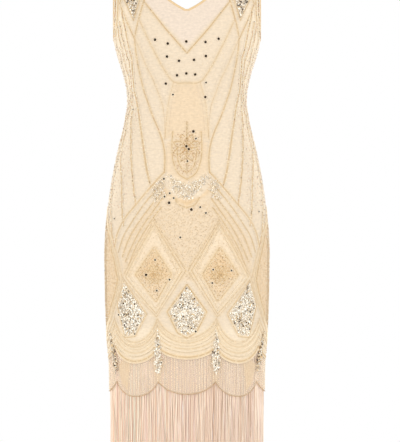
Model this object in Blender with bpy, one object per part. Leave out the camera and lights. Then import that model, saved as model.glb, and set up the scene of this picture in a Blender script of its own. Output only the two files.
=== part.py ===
"""Sleeveless beaded flapper dress with a fringed hem, filled out as if worn.

Metres, +Z up, the front of the dress towards -Y. The origin is midway between the two neck points,
at the top of the shoulder seams. Each piece of cloth is a thin closed wall. A place on the cloth is
given by its run (the distance round the body from the centre line) and its rise (the distance up
the cloth from the chest line, where the shoulders begin to round over).
"""

import math
from collections import namedtuple

import bpy
import numpy as np
from mathutils import Vector
from mathutils.bvhtree import BVHTree

# Cloth walls and the clearances between sewn pieces.
PANEL_WALL = 0.0016
NET_WALL = 0.0010
FRINGE_WALL = 0.0040
BINDING_WALL = 0.0010
BINDING_LEG = 0.0045
BINDING_GAP = 0.0005
SEAM_GAP = 0.0003
PROBE = 0.02
FRINGE_INSET = 0.0030

# Levels of the dress, all heights below the shoulder seam.
CHEST_LINE = -0.100
UNDERARM = -0.225
FRINGE_TOP = -0.862
FRINGE_END = -1.100

# Shoulders and armholes.
ROUND_OVER = 0.140
SHOULDER_DROP = 0.032
ARMHOLE_X = 0.1545
ARMHOLE_BELLY = 0.5
ARMHOLE_CURVE = 0.090

# Grid of the cloth.
SECTION_POWER = 2.2
LOWER_ROWS = 15
CENTRE_ROWS = 4
NECK_ROWS = 10
CENTRE_COLUMNS = 3
MIDDLE_COLUMNS = 6
SIDE_COLUMNS = 4
UNDERARM_ROWS = 4
DROP_ROWS = 2
FRINGE_ROWS = 3

# Depth of the dress above the chest line follows a quarter of an ellipse to the shoulder seam.
Section = namedtuple("Section", "height half_width front back")
SECTIONS = (
    Section(-1.100, 0.1628, 0.112, 0.117),
    Section(-0.990, 0.1632, 0.112, 0.117),
    Section(-0.900, 0.1645, 0.113, 0.119),
    Section(-0.821, 0.1690, 0.113, 0.122),
    Section(-0.720, 0.1718, 0.113, 0.126),
    Section(-0.653, 0.1720, 0.112, 0.127),
    Section(-0.586, 0.1670, 0.110, 0.123),
    Section(-0.519, 0.1575, 0.106, 0.114),
    Section(-0.452, 0.1440, 0.100, 0.101),
    Section(-0.400, 0.1315, 0.096, 0.089),
    Section(-0.351, 0.1250, 0.095, 0.082),
    Section(-0.300, 0.1330, 0.105, 0.086),
    Section(-0.262, 0.1450, 0.114, 0.092),
    Section(-0.225, 0.1545, 0.115, 0.097),
    Section(-0.160, 0.1545, 0.102, 0.098),
    Section(-0.100, 0.1545, 0.087, 0.091),
)

# Necklines in the plane of the cloth, from the point of the V up to the shoulder seam.
NeckPoint = namedtuple("NeckPoint", "run rise")
NECKLINES = {
    "front": (
        NeckPoint(0.000, -0.065),
        NeckPoint(0.026, -0.050),
        NeckPoint(0.049, -0.031),
        NeckPoint(0.067, -0.006),
        NeckPoint(0.078, 0.033),
        NeckPoint(0.084, 0.085),
        NeckPoint(0.086, ROUND_OVER),
    ),
    "back": (
        NeckPoint(0.000, -0.074),
        NeckPoint(0.028, -0.054),
        NeckPoint(0.050, -0.033),
        NeckPoint(0.067, -0.006),
        NeckPoint(0.078, 0.033),
        NeckPoint(0.084, 0.085),
        NeckPoint(0.086, ROUND_OVER),
    ),
}

# Scalloped edges: shares of the way from the centre line to the side seam at the points between
# scallops, and the heights of those points and of the three lowest places.
CUSP_NEAR = 0.27
CUSP_FAR = 0.73
Scallops = namedtuple("Scallops", "cusp centre middle side")
GOLD_EDGE = Scallops(-0.868, -0.890, -0.899, -0.892)
NET_EDGE = Scallops(-0.940, -0.966, -0.971, -0.962)
SCALLOP_ARC = 0.90

FACING = {"front": -1.0, "back": 1.0}
NET_COLOUR = (0.86, 0.70, 0.49, 1.0)
TRIM_COLOUR = (0.70, 0.50, 0.28, 1.0)
SHEER_COLOUR = (0.88, 0.73, 0.55, 1.0)
FRINGE_COLOUR = (0.88, 0.68, 0.54, 1.0)


def smooth_curve(at, knots, values):
    """Cubic through the knots, with the slope at each knot taken from its neighbours."""
    knots = np.asarray(knots, float)
    values = np.asarray(values, float)
    slopes = np.gradient(values, knots)
    at = np.clip(at, knots[0], knots[-1])
    left = np.clip(np.searchsorted(knots, at, side="right") - 1, 0, len(knots) - 2)
    span = knots[left + 1] - knots[left]
    t = (at - knots[left]) / span
    return (
        values[left] * (1 + 2 * t) * (1 - t) ** 2
        + slopes[left] * span * t * (1 - t) ** 2
        + values[left + 1] * t**2 * (3 - 2 * t)
        + slopes[left + 1] * span * t**2 * (t - 1)
    )


def smooth_step(t):
    t = min(max(t, 0.0), 1.0)
    return t * t * (3 - 2 * t)


def height_of(rise):
    """Nominal height at a rise, before the shoulders slope."""
    if rise <= 0:
        return CHEST_LINE + rise
    return CHEST_LINE * (1 - math.sin(0.5 * math.pi * rise / ROUND_OVER))


def read_section(height, column):
    heights = [row.height for row in SECTIONS]
    return float(smooth_curve(height, heights, [getattr(row, column) for row in SECTIONS]))


def armhole_belly(rise):
    """How far the armhole's edge stands off the side plane, as a share of the depth."""
    widest = UNDERARM - CHEST_LINE + ARMHOLE_CURVE
    if rise >= widest:
        return ARMHOLE_BELLY
    below = min((widest - rise) / ARMHOLE_CURVE, 1.0)
    return ARMHOLE_BELLY * math.sqrt(1 - below**2)


def section(side, rise):
    """Half width and depth of the closed oval that the cloth follows at a rise."""
    height = height_of(rise)
    depth = read_section(min(height, CHEST_LINE), side)
    half_width = read_section(min(height, CHEST_LINE), "half_width")
    if rise > 0:
        depth *= math.cos(0.5 * math.pi * min(rise / ROUND_OVER, 1.0))
    if height > UNDERARM:
        belly = armhole_belly(rise)
        half_width = ARMHOLE_X / (1 - belly**SECTION_POWER) ** (1 / SECTION_POWER)
    return half_width, depth


def section_curve(side, rise):
    """Points of a quarter section and their runs from the centre line."""
    half_width, depth = section(side, rise)
    turn = np.linspace(0, 0.5 * math.pi, 241)
    x = half_width * np.sin(turn) ** (2 / SECTION_POWER)
    y = depth * np.abs(np.cos(turn)) ** (2 / SECTION_POWER)
    y[-1] = 0.0
    runs = np.concatenate([[0], np.cumsum(np.hypot(np.diff(x), np.diff(y)))])
    return x, y, runs


def side_run(side, rise):
    """Run at the side seam or, above the underarm, at the armhole's edge."""
    x, _, runs = section_curve(side, rise)
    if height_of(rise) <= UNDERARM:
        return float(runs[-1])
    return float(np.interp(ARMHOLE_X, x, runs))


def place(side, run, rise):
    """Point on the outside of the cloth at a run (negative to the wearer's right) and a rise."""
    x, y, runs = section_curve(side, rise)
    out = float(np.interp(abs(run), runs, x))
    deep = float(np.interp(abs(run), runs, y))
    neck_run = NECKLINES[side][-1].run
    slope = smooth_step((abs(run) - neck_run * 0.8) / (ARMHOLE_X - neck_run * 0.8))
    settle = smooth_step((height_of(rise) + 0.20) / 0.20)
    height = height_of(rise) - SHOULDER_DROP * slope * settle
    facing = FACING[side]
    return Vector((math.copysign(out, run), facing * (deep + 0.5 * SEAM_GAP), height))


def evenly_along(points, steps):
    """Points spaced evenly along a polyline, ends included."""
    points = np.asarray(points, float)
    lengths = np.concatenate([[0], np.cumsum(np.linalg.norm(np.diff(points, axis=0), axis=1))])
    wanted = np.linspace(0, lengths[-1], steps + 1)
    return np.column_stack([np.interp(wanted, lengths, points[:, k]) for k in range(2)])


def neckline(side):
    """Runs and rises of the rows' inner ends: up the centre line, then up the neckline."""
    knots = NECKLINES[side]
    at = np.linspace(0, len(knots) - 1, 61)
    order = np.arange(len(knots))
    curve = np.column_stack(
        [smooth_curve(at, order, [k.run for k in knots]), smooth_curve(at, order, [k.rise for k in knots])]
    )
    centre = evenly_along([(0.0, UNDERARM - CHEST_LINE), (0.0, knots[0].rise)], CENTRE_ROWS)
    return np.vstack([centre[:-1], evenly_along(curve, NECK_ROWS)])


def armhole_edge(side):
    """Runs and rises of the rows' outer ends, from the underarm to the shoulder seam."""
    start = UNDERARM - CHEST_LINE
    turn = np.linspace(0, 0.5 * math.pi, 31)
    curve = list(start + ARMHOLE_CURVE * (1 - np.cos(turn)))
    curve += list(np.linspace(curve[-1], ROUND_OVER, 31)[1:])
    return evenly_along([(side_run(side, rise), rise) for rise in curve], CENTRE_ROWS + NECK_ROWS)


def column_shares():
    """Shares of the way round at each column, with a column on every point between scallops.

    The columns come closer together towards the side seam, where the cloth turns fastest.
    """
    centre = np.linspace(0, CUSP_NEAR, CENTRE_COLUMNS + 1)
    middle = np.linspace(CUSP_NEAR, CUSP_FAR, MIDDLE_COLUMNS + 1)
    turn = np.linspace(0, 0.5 * math.pi, SIDE_COLUMNS + 1)
    return np.concatenate([centre, middle[1:], CUSP_FAR + (1 - CUSP_FAR) * np.sin(turn[1:])])


def scallop_height(edge, share):
    """Height of a scalloped edge at a share of the way from the centre line to the side seam."""
    if share <= CUSP_NEAR:
        along, low = share / CUSP_NEAR, edge.centre
    elif share <= CUSP_FAR:
        middle = 0.5 * (CUSP_NEAR + CUSP_FAR)
        along, low = (share - middle) / (CUSP_FAR - middle), edge.middle
    else:
        along, low = (1 - share) / (1 - CUSP_FAR), edge.side
    curve = 1 - math.sqrt(1 - (SCALLOP_ARC * along) ** 2)
    return low + (edge.cusp - low) * curve / (1 - math.sqrt(1 - SCALLOP_ARC**2))


def level_row(side, heights, shares):
    """A row of the cloth below the underarm, one height for each column."""
    rises = [height - CHEST_LINE for height in heights]
    return [place(side, share * side_run(side, rise), rise) for share, rise in zip(shares, rises)]


def panel_rows(side):
    """Rows of the left half of a panel (+X), from the gold scalloped edge to the shoulder seam."""
    shares = column_shares()
    edge = [scallop_height(GOLD_EDGE, share) for share in shares]
    rows = []
    for step in range(LOWER_ROWS):
        part = step / LOWER_ROWS
        rows.append(level_row(side, [low + (UNDERARM - low) * part for low in edge], shares))
    for inner, outer in zip(neckline(side), armhole_edge(side)):
        ends = [inner + (outer - inner) * share for share in shares]
        rows.append([place(side, run, rise) for run, rise in ends])
    return rows


def band_rows(side, top_edge, bottom_edge, steps):
    """Rows of a band of cloth between two edges, each a function of the share."""
    shares = column_shares()
    rows = []
    for step in range(steps + 1):
        part = step / steps
        heights = [bottom_edge(s) + (top_edge(s) - bottom_edge(s)) * part for s in shares]
        rows.append(level_row(side, heights, shares))
    return rows


def split(points, a, b, c, d):
    """Two triangles from a four-sided face, parted along its shorter diagonal."""
    if (points[a] - points[c]).length <= (points[b] - points[d]).length:
        return [(a, b, c), (a, c, d)]
    return [(a, b, d), (b, c, d)]


def full_sheet(rows, centre_rows):
    """Points and triangles of the whole sheet, its right half mirrored from its left.

    The halves share their centre points in the first centre_rows rows, and part above them.
    """
    count = len(rows[0])
    left = [[row * count + column for column in range(count)] for row in range(len(rows))]
    points = [point for row in rows for point in row]
    right = []
    for row, line in enumerate(rows):
        right.append([])
        for column, point in enumerate(line):
            if column == 0 and row < centre_rows:
                right[row].append(left[row][0])
                continue
            right[row].append(len(points))
            points.append(Vector((-point.x, point.y, point.z)))
    faces = []
    for row in range(len(rows) - 1):
        for column in range(count - 1):
            low, high = left[row], left[row + 1]
            faces += split(points, low[column], low[column + 1], high[column + 1], high[column])
            low, high = right[row], right[row + 1]
            faces += split(points, low[column + 1], low[column], high[column], high[column + 1])
    return points, faces, left, right


def outward_normals(points, faces, side):
    """Point normals, kept in the seam planes along the side and shoulder seams."""
    normals = [Vector((0, 0, 0)) for _ in points]
    for face in faces:
        a, b, c = (points[index] for index in face)
        square = (b - a).cross(c - a)
        for index in face:
            normals[index] += square
    for index, point in enumerate(points):
        if abs(point.y) < 0.6 * SEAM_GAP:
            normals[index].y = 0.0
        if abs(point.x) < 1e-6:
            normals[index].x = 0.0
        normals[index].normalize()
    towards = normals[0].y * FACING[side]
    return [normal if towards > 0 else -normal for normal in normals]


def material(name, colour, roughness):
    made = bpy.data.materials.new(name)
    made.use_nodes = True
    shader = made.node_tree.nodes["Principled BSDF"]
    shader.inputs["Base Color"].default_value = colour
    shader.inputs["Roughness"].default_value = roughness
    shader.inputs["Metallic"].default_value = 0.0
    return made


def solid(name, points, faces, finish):
    """Object from points and faces, turned so that its faces point out."""
    volume = 0.0
    for face in faces:
        for second, third in zip(face[1:], face[2:]):
            volume += points[face[0]].dot(points[second].cross(points[third]))
    if volume < 0:
        faces = [tuple(reversed(face)) for face in faces]
    mesh = bpy.data.meshes.new(name)
    mesh.from_pydata([tuple(point) for point in points], [], faces)
    mesh.materials.append(finish)
    mesh.shade_smooth()
    mesh.set_sharp_from_angle(angle=math.radians(50))
    mesh.update()
    made = bpy.data.objects.new(name, mesh)
    bpy.context.scene.collection.objects.link(made)
    return made


def walled(name, points, faces, normals, outside, inside, finish):
    """Closed wall between two depths below the sheet, with its open edges filled in."""
    count = len(points)
    outer = [point - normal * outside for point, normal in zip(points, normals)]
    inner = [point - normal * inside for point, normal in zip(points, normals)]
    both = outer + inner
    directed = [(face[k], face[(k + 1) % 3]) for face in faces for k in range(3)]
    known = set(directed)
    closed = list(faces) + [tuple(count + index for index in reversed(face)) for face in faces]
    for start, end in directed:
        if (end, start) not in known:
            closed += split(both, end, start, count + start, count + end)
    return solid(name, both, closed, finish), outer, inner


Station = namedtuple("Station", "edge_out edge_in leg_out leg_in mitre")


def between(first, second):
    return (first + second) * 0.5


def along_edge(panel, start, towards, leg):
    """Edge and leg points on the panel's straight line from one of its points to another."""
    outer, inner = panel["outer"], panel["inner"]
    part = leg / (outer[towards] - outer[start]).length
    leg_out = outer[start].lerp(outer[towards], part)
    leg_in = inner[start].lerp(inner[towards], part)
    return outer[start], inner[start], leg_out, leg_in


def seam_station(panels, start, towards, leg, mitre=1.0):
    """Station midway between the two panels, where they meet at a seam."""
    ends = [along_edge(panels[side], start[side], towards[side], leg) for side in panels]
    return Station(*[between(a, b) for a, b in zip(*ends)], mitre)


def edge_station(panel, edge, position, inside):
    """Station at a place on an edge, its leg square to the edge and lying on the panel's own faces.

    The edge is a list of point numbers, and position counts along it: 1.5 is midway from 1 to 2.
    """
    low = math.floor(position)
    high = math.ceil(position)
    part = position - low
    edge_out = panel["outer"][edge[low]].lerp(panel["outer"][edge[high]], part)
    edge_in = panel["inner"][edge[low]].lerp(panel["inner"][edge[high]], part)
    before = panel["outer"][edge[math.ceil(position) - 1]]
    after = panel["outer"][edge[math.floor(position) + 1]]
    normal = (edge_out - edge_in).normalized()
    inward = normal.cross(after - before).normalized()
    if inward.dot(panel["outer"][inside] - edge_out) < 0:
        inward = -inward
    leg = between(edge_out, edge_in) + inward * BINDING_LEG
    leg_out = panel["tree"].ray_cast(leg + normal * PROBE, -normal)[0]
    leg_in = panel["tree"].ray_cast(leg - normal * PROBE, normal)[0]
    return Station(edge_out, edge_in, leg_out, leg_in, 1.0)


def binding_loop(station):
    """Section of a folded binding: out along one face, round the edge, back along the other."""
    out = (station.edge_out - station.edge_in).normalized()
    leg_normal = (station.leg_out - station.leg_in).normalized()
    inward = (station.leg_out - station.edge_out).normalized()
    near, far = BINDING_GAP, BINDING_GAP + BINDING_WALL
    points = [
        station.leg_out + leg_normal * far,
        station.edge_out + (out - inward * station.mitre) * far,
        station.edge_in - (out + inward * station.mitre) * far,
        station.leg_in - leg_normal * far,
        station.leg_in - leg_normal * near,
        station.edge_in - (out + inward * station.mitre) * near,
        station.edge_out + (out - inward * station.mitre) * near,
        station.leg_out + leg_normal * near,
    ]
    return points


def binding(name, stations, finish):
    """Closed ring of binding through its stations."""
    loops = [binding_loop(station) for station in stations]
    around = len(loops[0])
    points = [point for loop in loops for point in loop]
    faces = []
    for ring in range(len(loops)):
        following = (ring + 1) % len(loops)
        for side in range(around):
            beside = (side + 1) % around
            here, there = ring * around, following * around
            faces += split(points, here + side, here + beside, there + beside, there + side)
    return solid(name, points, faces, finish)


def make_panel(side, finish):
    rows = panel_rows(side)
    points, faces, left, right = full_sheet(rows, LOWER_ROWS + CENTRE_ROWS + 1)
    normals = outward_normals(points, faces, side)
    made, outer, inner = walled(side + "_panel", points, faces, normals, 0.0, PANEL_WALL, finish)
    tree = BVHTree.FromPolygons([v.co for v in made.data.vertices], [p.vertices for p in made.data.polygons])
    return {"outer": outer, "inner": inner, "tree": tree, "left": left, "right": right}


def v_station(panel):
    """Mitred station at the point of the V."""
    row = LOWER_ROWS + CENTRE_ROWS
    point = panel["left"][row][0]
    sideways = panel["outer"][panel["left"][row + 1][0]] - panel["outer"][point]
    mitre = 1 / math.sin(sideways.angle(Vector((0, 0, 1))))
    below = panel["left"][row - 1][0]
    return Station(*along_edge(panel, point, below, BINDING_LEG * mitre), mitre)


def neck_stations(panels):
    """Stations round the neckline: front V, over one shoulder, back V, over the other."""
    point_row = LOWER_ROWS + CENTRE_ROWS
    top_row = point_row + NECK_ROWS

    def edge_run(side, half):
        grid = panels[side][half]
        edge = [row[0] for row in grid]
        rows = range(point_row + 1, top_row)
        return [edge_station(panels[side], edge, row, grid[row][1]) for row in rows]

    def shoulder(half):
        start = {side: panels[side][half][top_row][0] for side in panels}
        towards = {side: panels[side][half][top_row][1] for side in panels}
        return seam_station(panels, start, towards, BINDING_LEG)

    stations = [v_station(panels["front"])] + edge_run("front", "left") + [shoulder("left")]
    stations += edge_run("back", "left")[::-1] + [v_station(panels["back"])] + edge_run("back", "right")
    return stations + [shoulder("right")] + edge_run("front", "right")[::-1]


def armhole_stations(panels, half):
    """Stations round an armhole: underarm, up the front, over the shoulder, down the back."""
    first_row = LOWER_ROWS
    top_row = LOWER_ROWS + CENTRE_ROWS + NECK_ROWS

    def seam(row, towards_row, towards_column):
        start = {side: panels[side][half][row][-1] for side in panels}
        towards = {side: panels[side][half][towards_row][towards_column] for side in panels}
        return seam_station(panels, start, towards, BINDING_LEG)

    def edge_run(side):
        grid = panels[side][half]
        edge = [row[-1] for row in grid]
        curved = [first_row + 0.5 * step for step in range(1, 2 * UNDERARM_ROWS)]
        places = curved + list(range(first_row + UNDERARM_ROWS, top_row))
        return [edge_station(panels[side], edge, at, grid[math.ceil(at)][-2]) for at in places]

    underarm = seam(first_row, first_row - 1, -1)
    shoulder = seam(top_row, top_row, -2)
    return [underarm] + edge_run("front") + [shoulder] + edge_run("back")[::-1]


def make_band(name, side, top_edge, bottom_edge, steps, depths, finish):
    rows = band_rows(side, top_edge, bottom_edge, steps)
    points, faces, _, _ = full_sheet(rows, len(rows))
    normals = outward_normals(points, faces, side)
    walled(name, points, faces, normals, depths[0], depths[1], finish)


def main():
    for old in list(bpy.data.objects):
        bpy.data.objects.remove(old, do_unlink=True)
    beaded = material("beaded_net", NET_COLOUR, 0.55)
    trim = material("gold_binding", TRIM_COLOUR, 0.50)
    sheer = material("sheer_net", SHEER_COLOUR, 0.65)
    strands = material("fringe", FRINGE_COLOUR, 0.60)

    panels = {side: make_panel(side, beaded) for side in FACING}
    binding("neck_binding", neck_stations(panels), trim)
    binding("armhole_binding_left", armhole_stations(panels, "left"), trim)
    binding("armhole_binding_right", armhole_stations(panels, "right"), trim)

    for side in FACING:
        make_band(
            "hem_net_" + side,
            side,
            lambda share: scallop_height(GOLD_EDGE, share) - SEAM_GAP,
            lambda share: scallop_height(NET_EDGE, share),
            DROP_ROWS,
            (0.0, NET_WALL),
            sheer,
        )
        make_band(
            "fringe_" + side,
            side,
            lambda share: FRINGE_TOP,
            lambda share: FRINGE_END,
            FRINGE_ROWS,
            (FRINGE_INSET, FRINGE_INSET + FRINGE_WALL),
            strands,
        )


main()
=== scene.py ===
"""Looks of the beaded flapper dress: net, lining, bead lines, sequins, studs, bindings and fringe.

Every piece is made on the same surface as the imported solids. A place on the cloth is a run (metres
round the body from the centre line) and a rise (metres up the cloth from the chest line). Motifs
are set out by their share of the way from the centre line to the side seam and their height.
"""

import math
from collections import namedtuple

import bpy
import numpy as np
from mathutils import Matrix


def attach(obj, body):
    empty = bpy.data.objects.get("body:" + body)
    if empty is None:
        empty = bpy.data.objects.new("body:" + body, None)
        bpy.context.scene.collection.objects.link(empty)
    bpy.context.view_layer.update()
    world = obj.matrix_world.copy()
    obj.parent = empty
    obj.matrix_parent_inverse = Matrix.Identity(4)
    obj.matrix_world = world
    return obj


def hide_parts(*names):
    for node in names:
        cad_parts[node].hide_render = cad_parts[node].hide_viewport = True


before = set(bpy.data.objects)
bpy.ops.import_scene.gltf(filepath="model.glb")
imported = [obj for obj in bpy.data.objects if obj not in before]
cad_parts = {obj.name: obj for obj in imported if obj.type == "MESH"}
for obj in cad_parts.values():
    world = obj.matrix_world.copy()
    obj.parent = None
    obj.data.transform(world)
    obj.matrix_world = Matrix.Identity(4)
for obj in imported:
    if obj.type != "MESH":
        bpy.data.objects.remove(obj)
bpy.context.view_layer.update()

# ---- the dress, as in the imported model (metres) ----
CHEST_LINE = -0.100
UNDERARM = -0.225
ROUND_OVER = 0.140
SHOULDER_DROP = 0.032
ARMHOLE_X = 0.1545
ARMHOLE_BELLY = 0.5
ARMHOLE_CURVE = 0.090
SECTION_POWER = 2.2
SEAM_GAP = 0.0003
NECK_SHOULDER_RUN = 0.086
FRINGE_TOP = -0.862
FRINGE_END = -1.099

Section = namedtuple("Section", "height half_width front back")
SECTIONS = (
    Section(-1.100, 0.1628, 0.112, 0.117),
    Section(-0.990, 0.1632, 0.112, 0.117),
    Section(-0.900, 0.1645, 0.113, 0.119),
    Section(-0.821, 0.1690, 0.113, 0.122),
    Section(-0.720, 0.1718, 0.113, 0.126),
    Section(-0.653, 0.1720, 0.112, 0.127),
    Section(-0.586, 0.1670, 0.110, 0.123),
    Section(-0.519, 0.1575, 0.106, 0.114),
    Section(-0.452, 0.1440, 0.100, 0.101),
    Section(-0.400, 0.1315, 0.096, 0.089),
    Section(-0.351, 0.1250, 0.095, 0.082),
    Section(-0.300, 0.1330, 0.105, 0.086),
    Section(-0.262, 0.1450, 0.114, 0.092),
    Section(-0.225, 0.1545, 0.115, 0.097),
    Section(-0.160, 0.1545, 0.102, 0.098),
    Section(-0.100, 0.1545, 0.087, 0.091),
)

Run = namedtuple("Run", "run rise")
NECKLINES = {
    "front": (
        Run(0.000, -0.065),
        Run(0.026, -0.050),
        Run(0.049, -0.031),
        Run(0.067, -0.006),
        Run(0.078, 0.033),
        Run(0.084, 0.085),
        Run(0.086, ROUND_OVER),
    ),
    "back": (
        Run(0.000, -0.074),
        Run(0.028, -0.054),
        Run(0.050, -0.033),
        Run(0.067, -0.006),
        Run(0.078, 0.033),
        Run(0.084, 0.085),
        Run(0.086, ROUND_OVER),
    ),
}

CUSP_NEAR = 0.27
CUSP_FAR = 0.73
SCALLOP_ARC = 0.90
# A scalloped edge: the height of its cusps and the lowest heights of its three kinds of scallop.
Scallops = namedtuple("Scallops", "cusp centre middle side")
GOLD_EDGE = Scallops(-0.868, -0.890, -0.899, -0.892)
NET_EDGE = Scallops(-0.940, -0.966, -0.971, -0.962)
FACING = {"front": -1.0, "back": 1.0}

# ---- cloth thicknesses and lifts of what is sewn on ----
SHELL_WALL = 0.0012
TIER_WALL = 0.0005
BEAD_LIFT = 0.0006
SEQUIN_LIFT = 0.0012

Share = namedtuple("Share", "share height")


def marks(*places):
    """Places on the cloth, each a share of the way to the side seam and a height."""
    return tuple(Share(*place) for place in places)



# ---------------------------------------------------------------- surface of the dress


def smooth_curve(at, knots, values):
    """Cubic through the knots, with the slope at each knot taken from its neighbours."""
    knots = np.asarray(knots, float)
    values = np.asarray(values, float)
    slopes = np.gradient(values, knots)
    at = np.clip(at, knots[0], knots[-1])
    left = np.clip(np.searchsorted(knots, at, side="right") - 1, 0, len(knots) - 2)
    span = knots[left + 1] - knots[left]
    t = (at - knots[left]) / span
    return (
        values[left] * (1 + 2 * t) * (1 - t) ** 2
        + slopes[left] * span * t * (1 - t) ** 2
        + values[left + 1] * t**2 * (3 - 2 * t)
        + slopes[left + 1] * span * t**2 * (t - 1)
    )


def smooth_step(t):
    t = np.clip(t, 0.0, 1.0)
    return t * t * (3 - 2 * t)


def unit(vectors):
    """Vectors brought to a length of one."""
    return vectors / np.maximum(np.linalg.norm(vectors, axis=-1, keepdims=True), 1e-9)


def ways_on(normal):
    """A level way along the cloth at each normal, and the way across it."""
    level = unit(np.cross(normal, np.array([0.0, 0.0, 1.0])))
    return level, np.cross(normal, level)


def path_length(path):
    return np.linalg.norm(np.diff(path, axis=0), axis=1).sum()


def height_of(rise):
    """Nominal height at a rise, before the shoulders slope."""
    rise = np.asarray(rise, float)
    over = CHEST_LINE * (1 - np.sin(0.5 * math.pi * np.clip(rise, 0, ROUND_OVER) / ROUND_OVER))
    return np.where(rise <= 0, CHEST_LINE + rise, over)


class Surface:
    """One side of the dress, held as a table of quarter ovals from the fringe to the shoulder."""

    LEVELS = 460
    STEPS = 160

    def __init__(self, side):
        self.side = side
        self.facing = FACING[side]
        self.rises = np.linspace(FRINGE_END - CHEST_LINE - 0.01, ROUND_OVER, self.LEVELS)
        self.x = np.zeros((self.LEVELS, self.STEPS + 1))
        self.y = np.zeros((self.LEVELS, self.STEPS + 1))
        self.quarter = np.zeros(self.LEVELS)
        self.edge = np.zeros(self.LEVELS)
        heights = [row.height for row in SECTIONS]
        low = np.minimum(height_of(self.rises), CHEST_LINE)
        half = smooth_curve(low, heights, [row.half_width for row in SECTIONS])
        deep = smooth_curve(low, heights, [getattr(row, side) for row in SECTIONS])
        deep *= np.cos(0.5 * math.pi * np.clip(self.rises / ROUND_OVER, 0, 1))
        widest = UNDERARM - CHEST_LINE + ARMHOLE_CURVE
        below = np.clip((widest - self.rises) / ARMHOLE_CURVE, 0, 1)
        belly = ARMHOLE_BELLY * np.sqrt(1 - below**2)
        above = height_of(self.rises) > UNDERARM
        half = np.where(above, ARMHOLE_X / (1 - belly**SECTION_POWER) ** (1 / SECTION_POWER), half)
        turn = np.linspace(0, 0.5 * math.pi, 361)
        for level in range(self.LEVELS):
            x = half[level] * np.sin(turn) ** (2 / SECTION_POWER)
            y = deep[level] * np.abs(np.cos(turn)) ** (2 / SECTION_POWER)
            y[-1] = 0.0
            runs = np.concatenate([[0], np.cumsum(np.hypot(np.diff(x), np.diff(y)))])
            even = np.linspace(0, runs[-1], self.STEPS + 1)
            self.x[level] = np.interp(even, runs, x)
            self.y[level] = np.interp(even, runs, y)
            self.quarter[level] = runs[-1]
            self.edge[level] = np.interp(ARMHOLE_X, x, runs) if above[level] else runs[-1]

    def quarter_run(self, rise):
        return np.interp(rise, self.rises, self.quarter)

    def edge_run(self, rise):
        return np.interp(rise, self.rises, self.edge)

    def base(self, run, rise):
        """Points on the smooth surface, without folds."""
        run = np.asarray(run, float)
        rise = np.asarray(rise, float)
        level = np.clip(np.interp(rise, self.rises, np.arange(self.LEVELS)), 0, self.LEVELS - 1.001)
        share = np.clip(np.abs(run) / self.quarter_run(rise), 0, 1) * self.STEPS
        i = level.astype(int)
        j = np.minimum(share.astype(int), self.STEPS - 1)
        a, b = level - i, share - j
        out = []
        for table in (self.x, self.y):
            low = (1 - b) * table[i, j] + b * table[i, j + 1]
            high = (1 - b) * table[i + 1, j] + b * table[i + 1, j + 1]
            out.append((1 - a) * low + a * high)
        near = NECK_SHOULDER_RUN * 0.8
        slope = smooth_step((np.abs(run) - near) / (ARMHOLE_X - near))
        nominal = height_of(rise)
        settle = smooth_step((nominal + 0.20) / 0.20)
        height = nominal - SHOULDER_DROP * slope * settle
        x = np.sign(run + 1e-12) * out[0]
        return np.stack([x, self.facing * (out[1] + 0.5 * SEAM_GAP), height], axis=-1)

    def normals(self, run, rise):
        step = 0.0015
        along = self.base(run + step, rise) - self.base(run - step, rise)
        up = self.base(run, rise + step) - self.base(run, rise - step)
        normal = unit(np.cross(up, along) * self.facing)
        outward = np.stack([np.sign(run) * 0.5, np.full(np.shape(run), self.facing), 0 * run], axis=-1)
        flip = np.sum(normal * outward, axis=-1, keepdims=True) < 0
        return np.where(flip, -normal, normal)

    def place(self, run, rise, lift=0.0):
        """Points on the folded cloth, lifted off it, with their normals."""
        run = np.asarray(run, float)
        rise = np.asarray(rise, float)
        normal = self.normals(run, rise)
        fold = fold_depth(self, run, rise)
        return self.base(run, rise) + normal * (fold + lift)[..., None], normal

    def spot(self, knot):
        """Run and rise of a motif's point."""
        if isinstance(knot, Run):
            return knot.run, knot.rise
        rise = knot.height - CHEST_LINE
        return knot.share * float(self.quarter_run(rise)), rise


# Soft creases: a ridge is positive and a trough negative. Each lies along a line from one place to
# another, in shares and heights, with its half width and its depth in metres.
Crease = namedtuple("Crease", "start end half_width depth")
CREASES = (
    Crease(Share(0.98, -0.330), Share(0.45, -0.362), 0.0120, -0.0016),
    Crease(Share(0.98, -0.352), Share(0.56, -0.392), 0.0100, -0.0014),
    Crease(Share(0.98, -0.375), Share(0.66, -0.405), 0.0110, 0.0012),
    Crease(Share(0.95, -0.262), Share(0.60, -0.232), 0.0140, -0.0018),
    Crease(Share(0.90, -0.300), Share(0.50, -0.275), 0.0160, 0.0012),
    Crease(Share(0.35, -0.640), Share(0.30, -0.880), 0.0240, 0.0016),
    Crease(Share(0.62, -0.560), Share(0.60, -0.890), 0.0260, -0.0018),
    Crease(Share(0.02, -0.560), Share(0.03, -0.890), 0.0260, 0.0014),
    Crease(Share(0.86, -0.620), Share(0.84, -0.890), 0.0220, 0.0020),
)
LEFT_CREASE_GAIN = 0.8


def fold_depth(surface, run, rise):
    """Height of the creases over the smooth surface, a little less deep on the dress's left."""
    depth = np.zeros(np.shape(run))
    for crease in CREASES:
        a = np.array(surface.spot(crease.start))
        b = np.array(surface.spot(crease.end))
        along = b - a
        length = np.linalg.norm(along)
        along = along / length
        across_run = np.abs(run) - a[0]
        across_rise = rise - a[1]
        t = (across_run * along[0] + across_rise * along[1]) / length
        off = across_run * along[1] - across_rise * along[0]
        taper = smooth_step((t + 0.15) / 0.4) * smooth_step((1.15 - t) / 0.4)
        depth = depth + crease.depth * taper * np.exp(-((off / crease.half_width) ** 2))
    ease = smooth_step((surface.quarter_run(rise) - np.abs(run)) / 0.02)
    gain = np.where(run > 0, LEFT_CREASE_GAIN, 1.0)
    return depth * ease * gain


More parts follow.
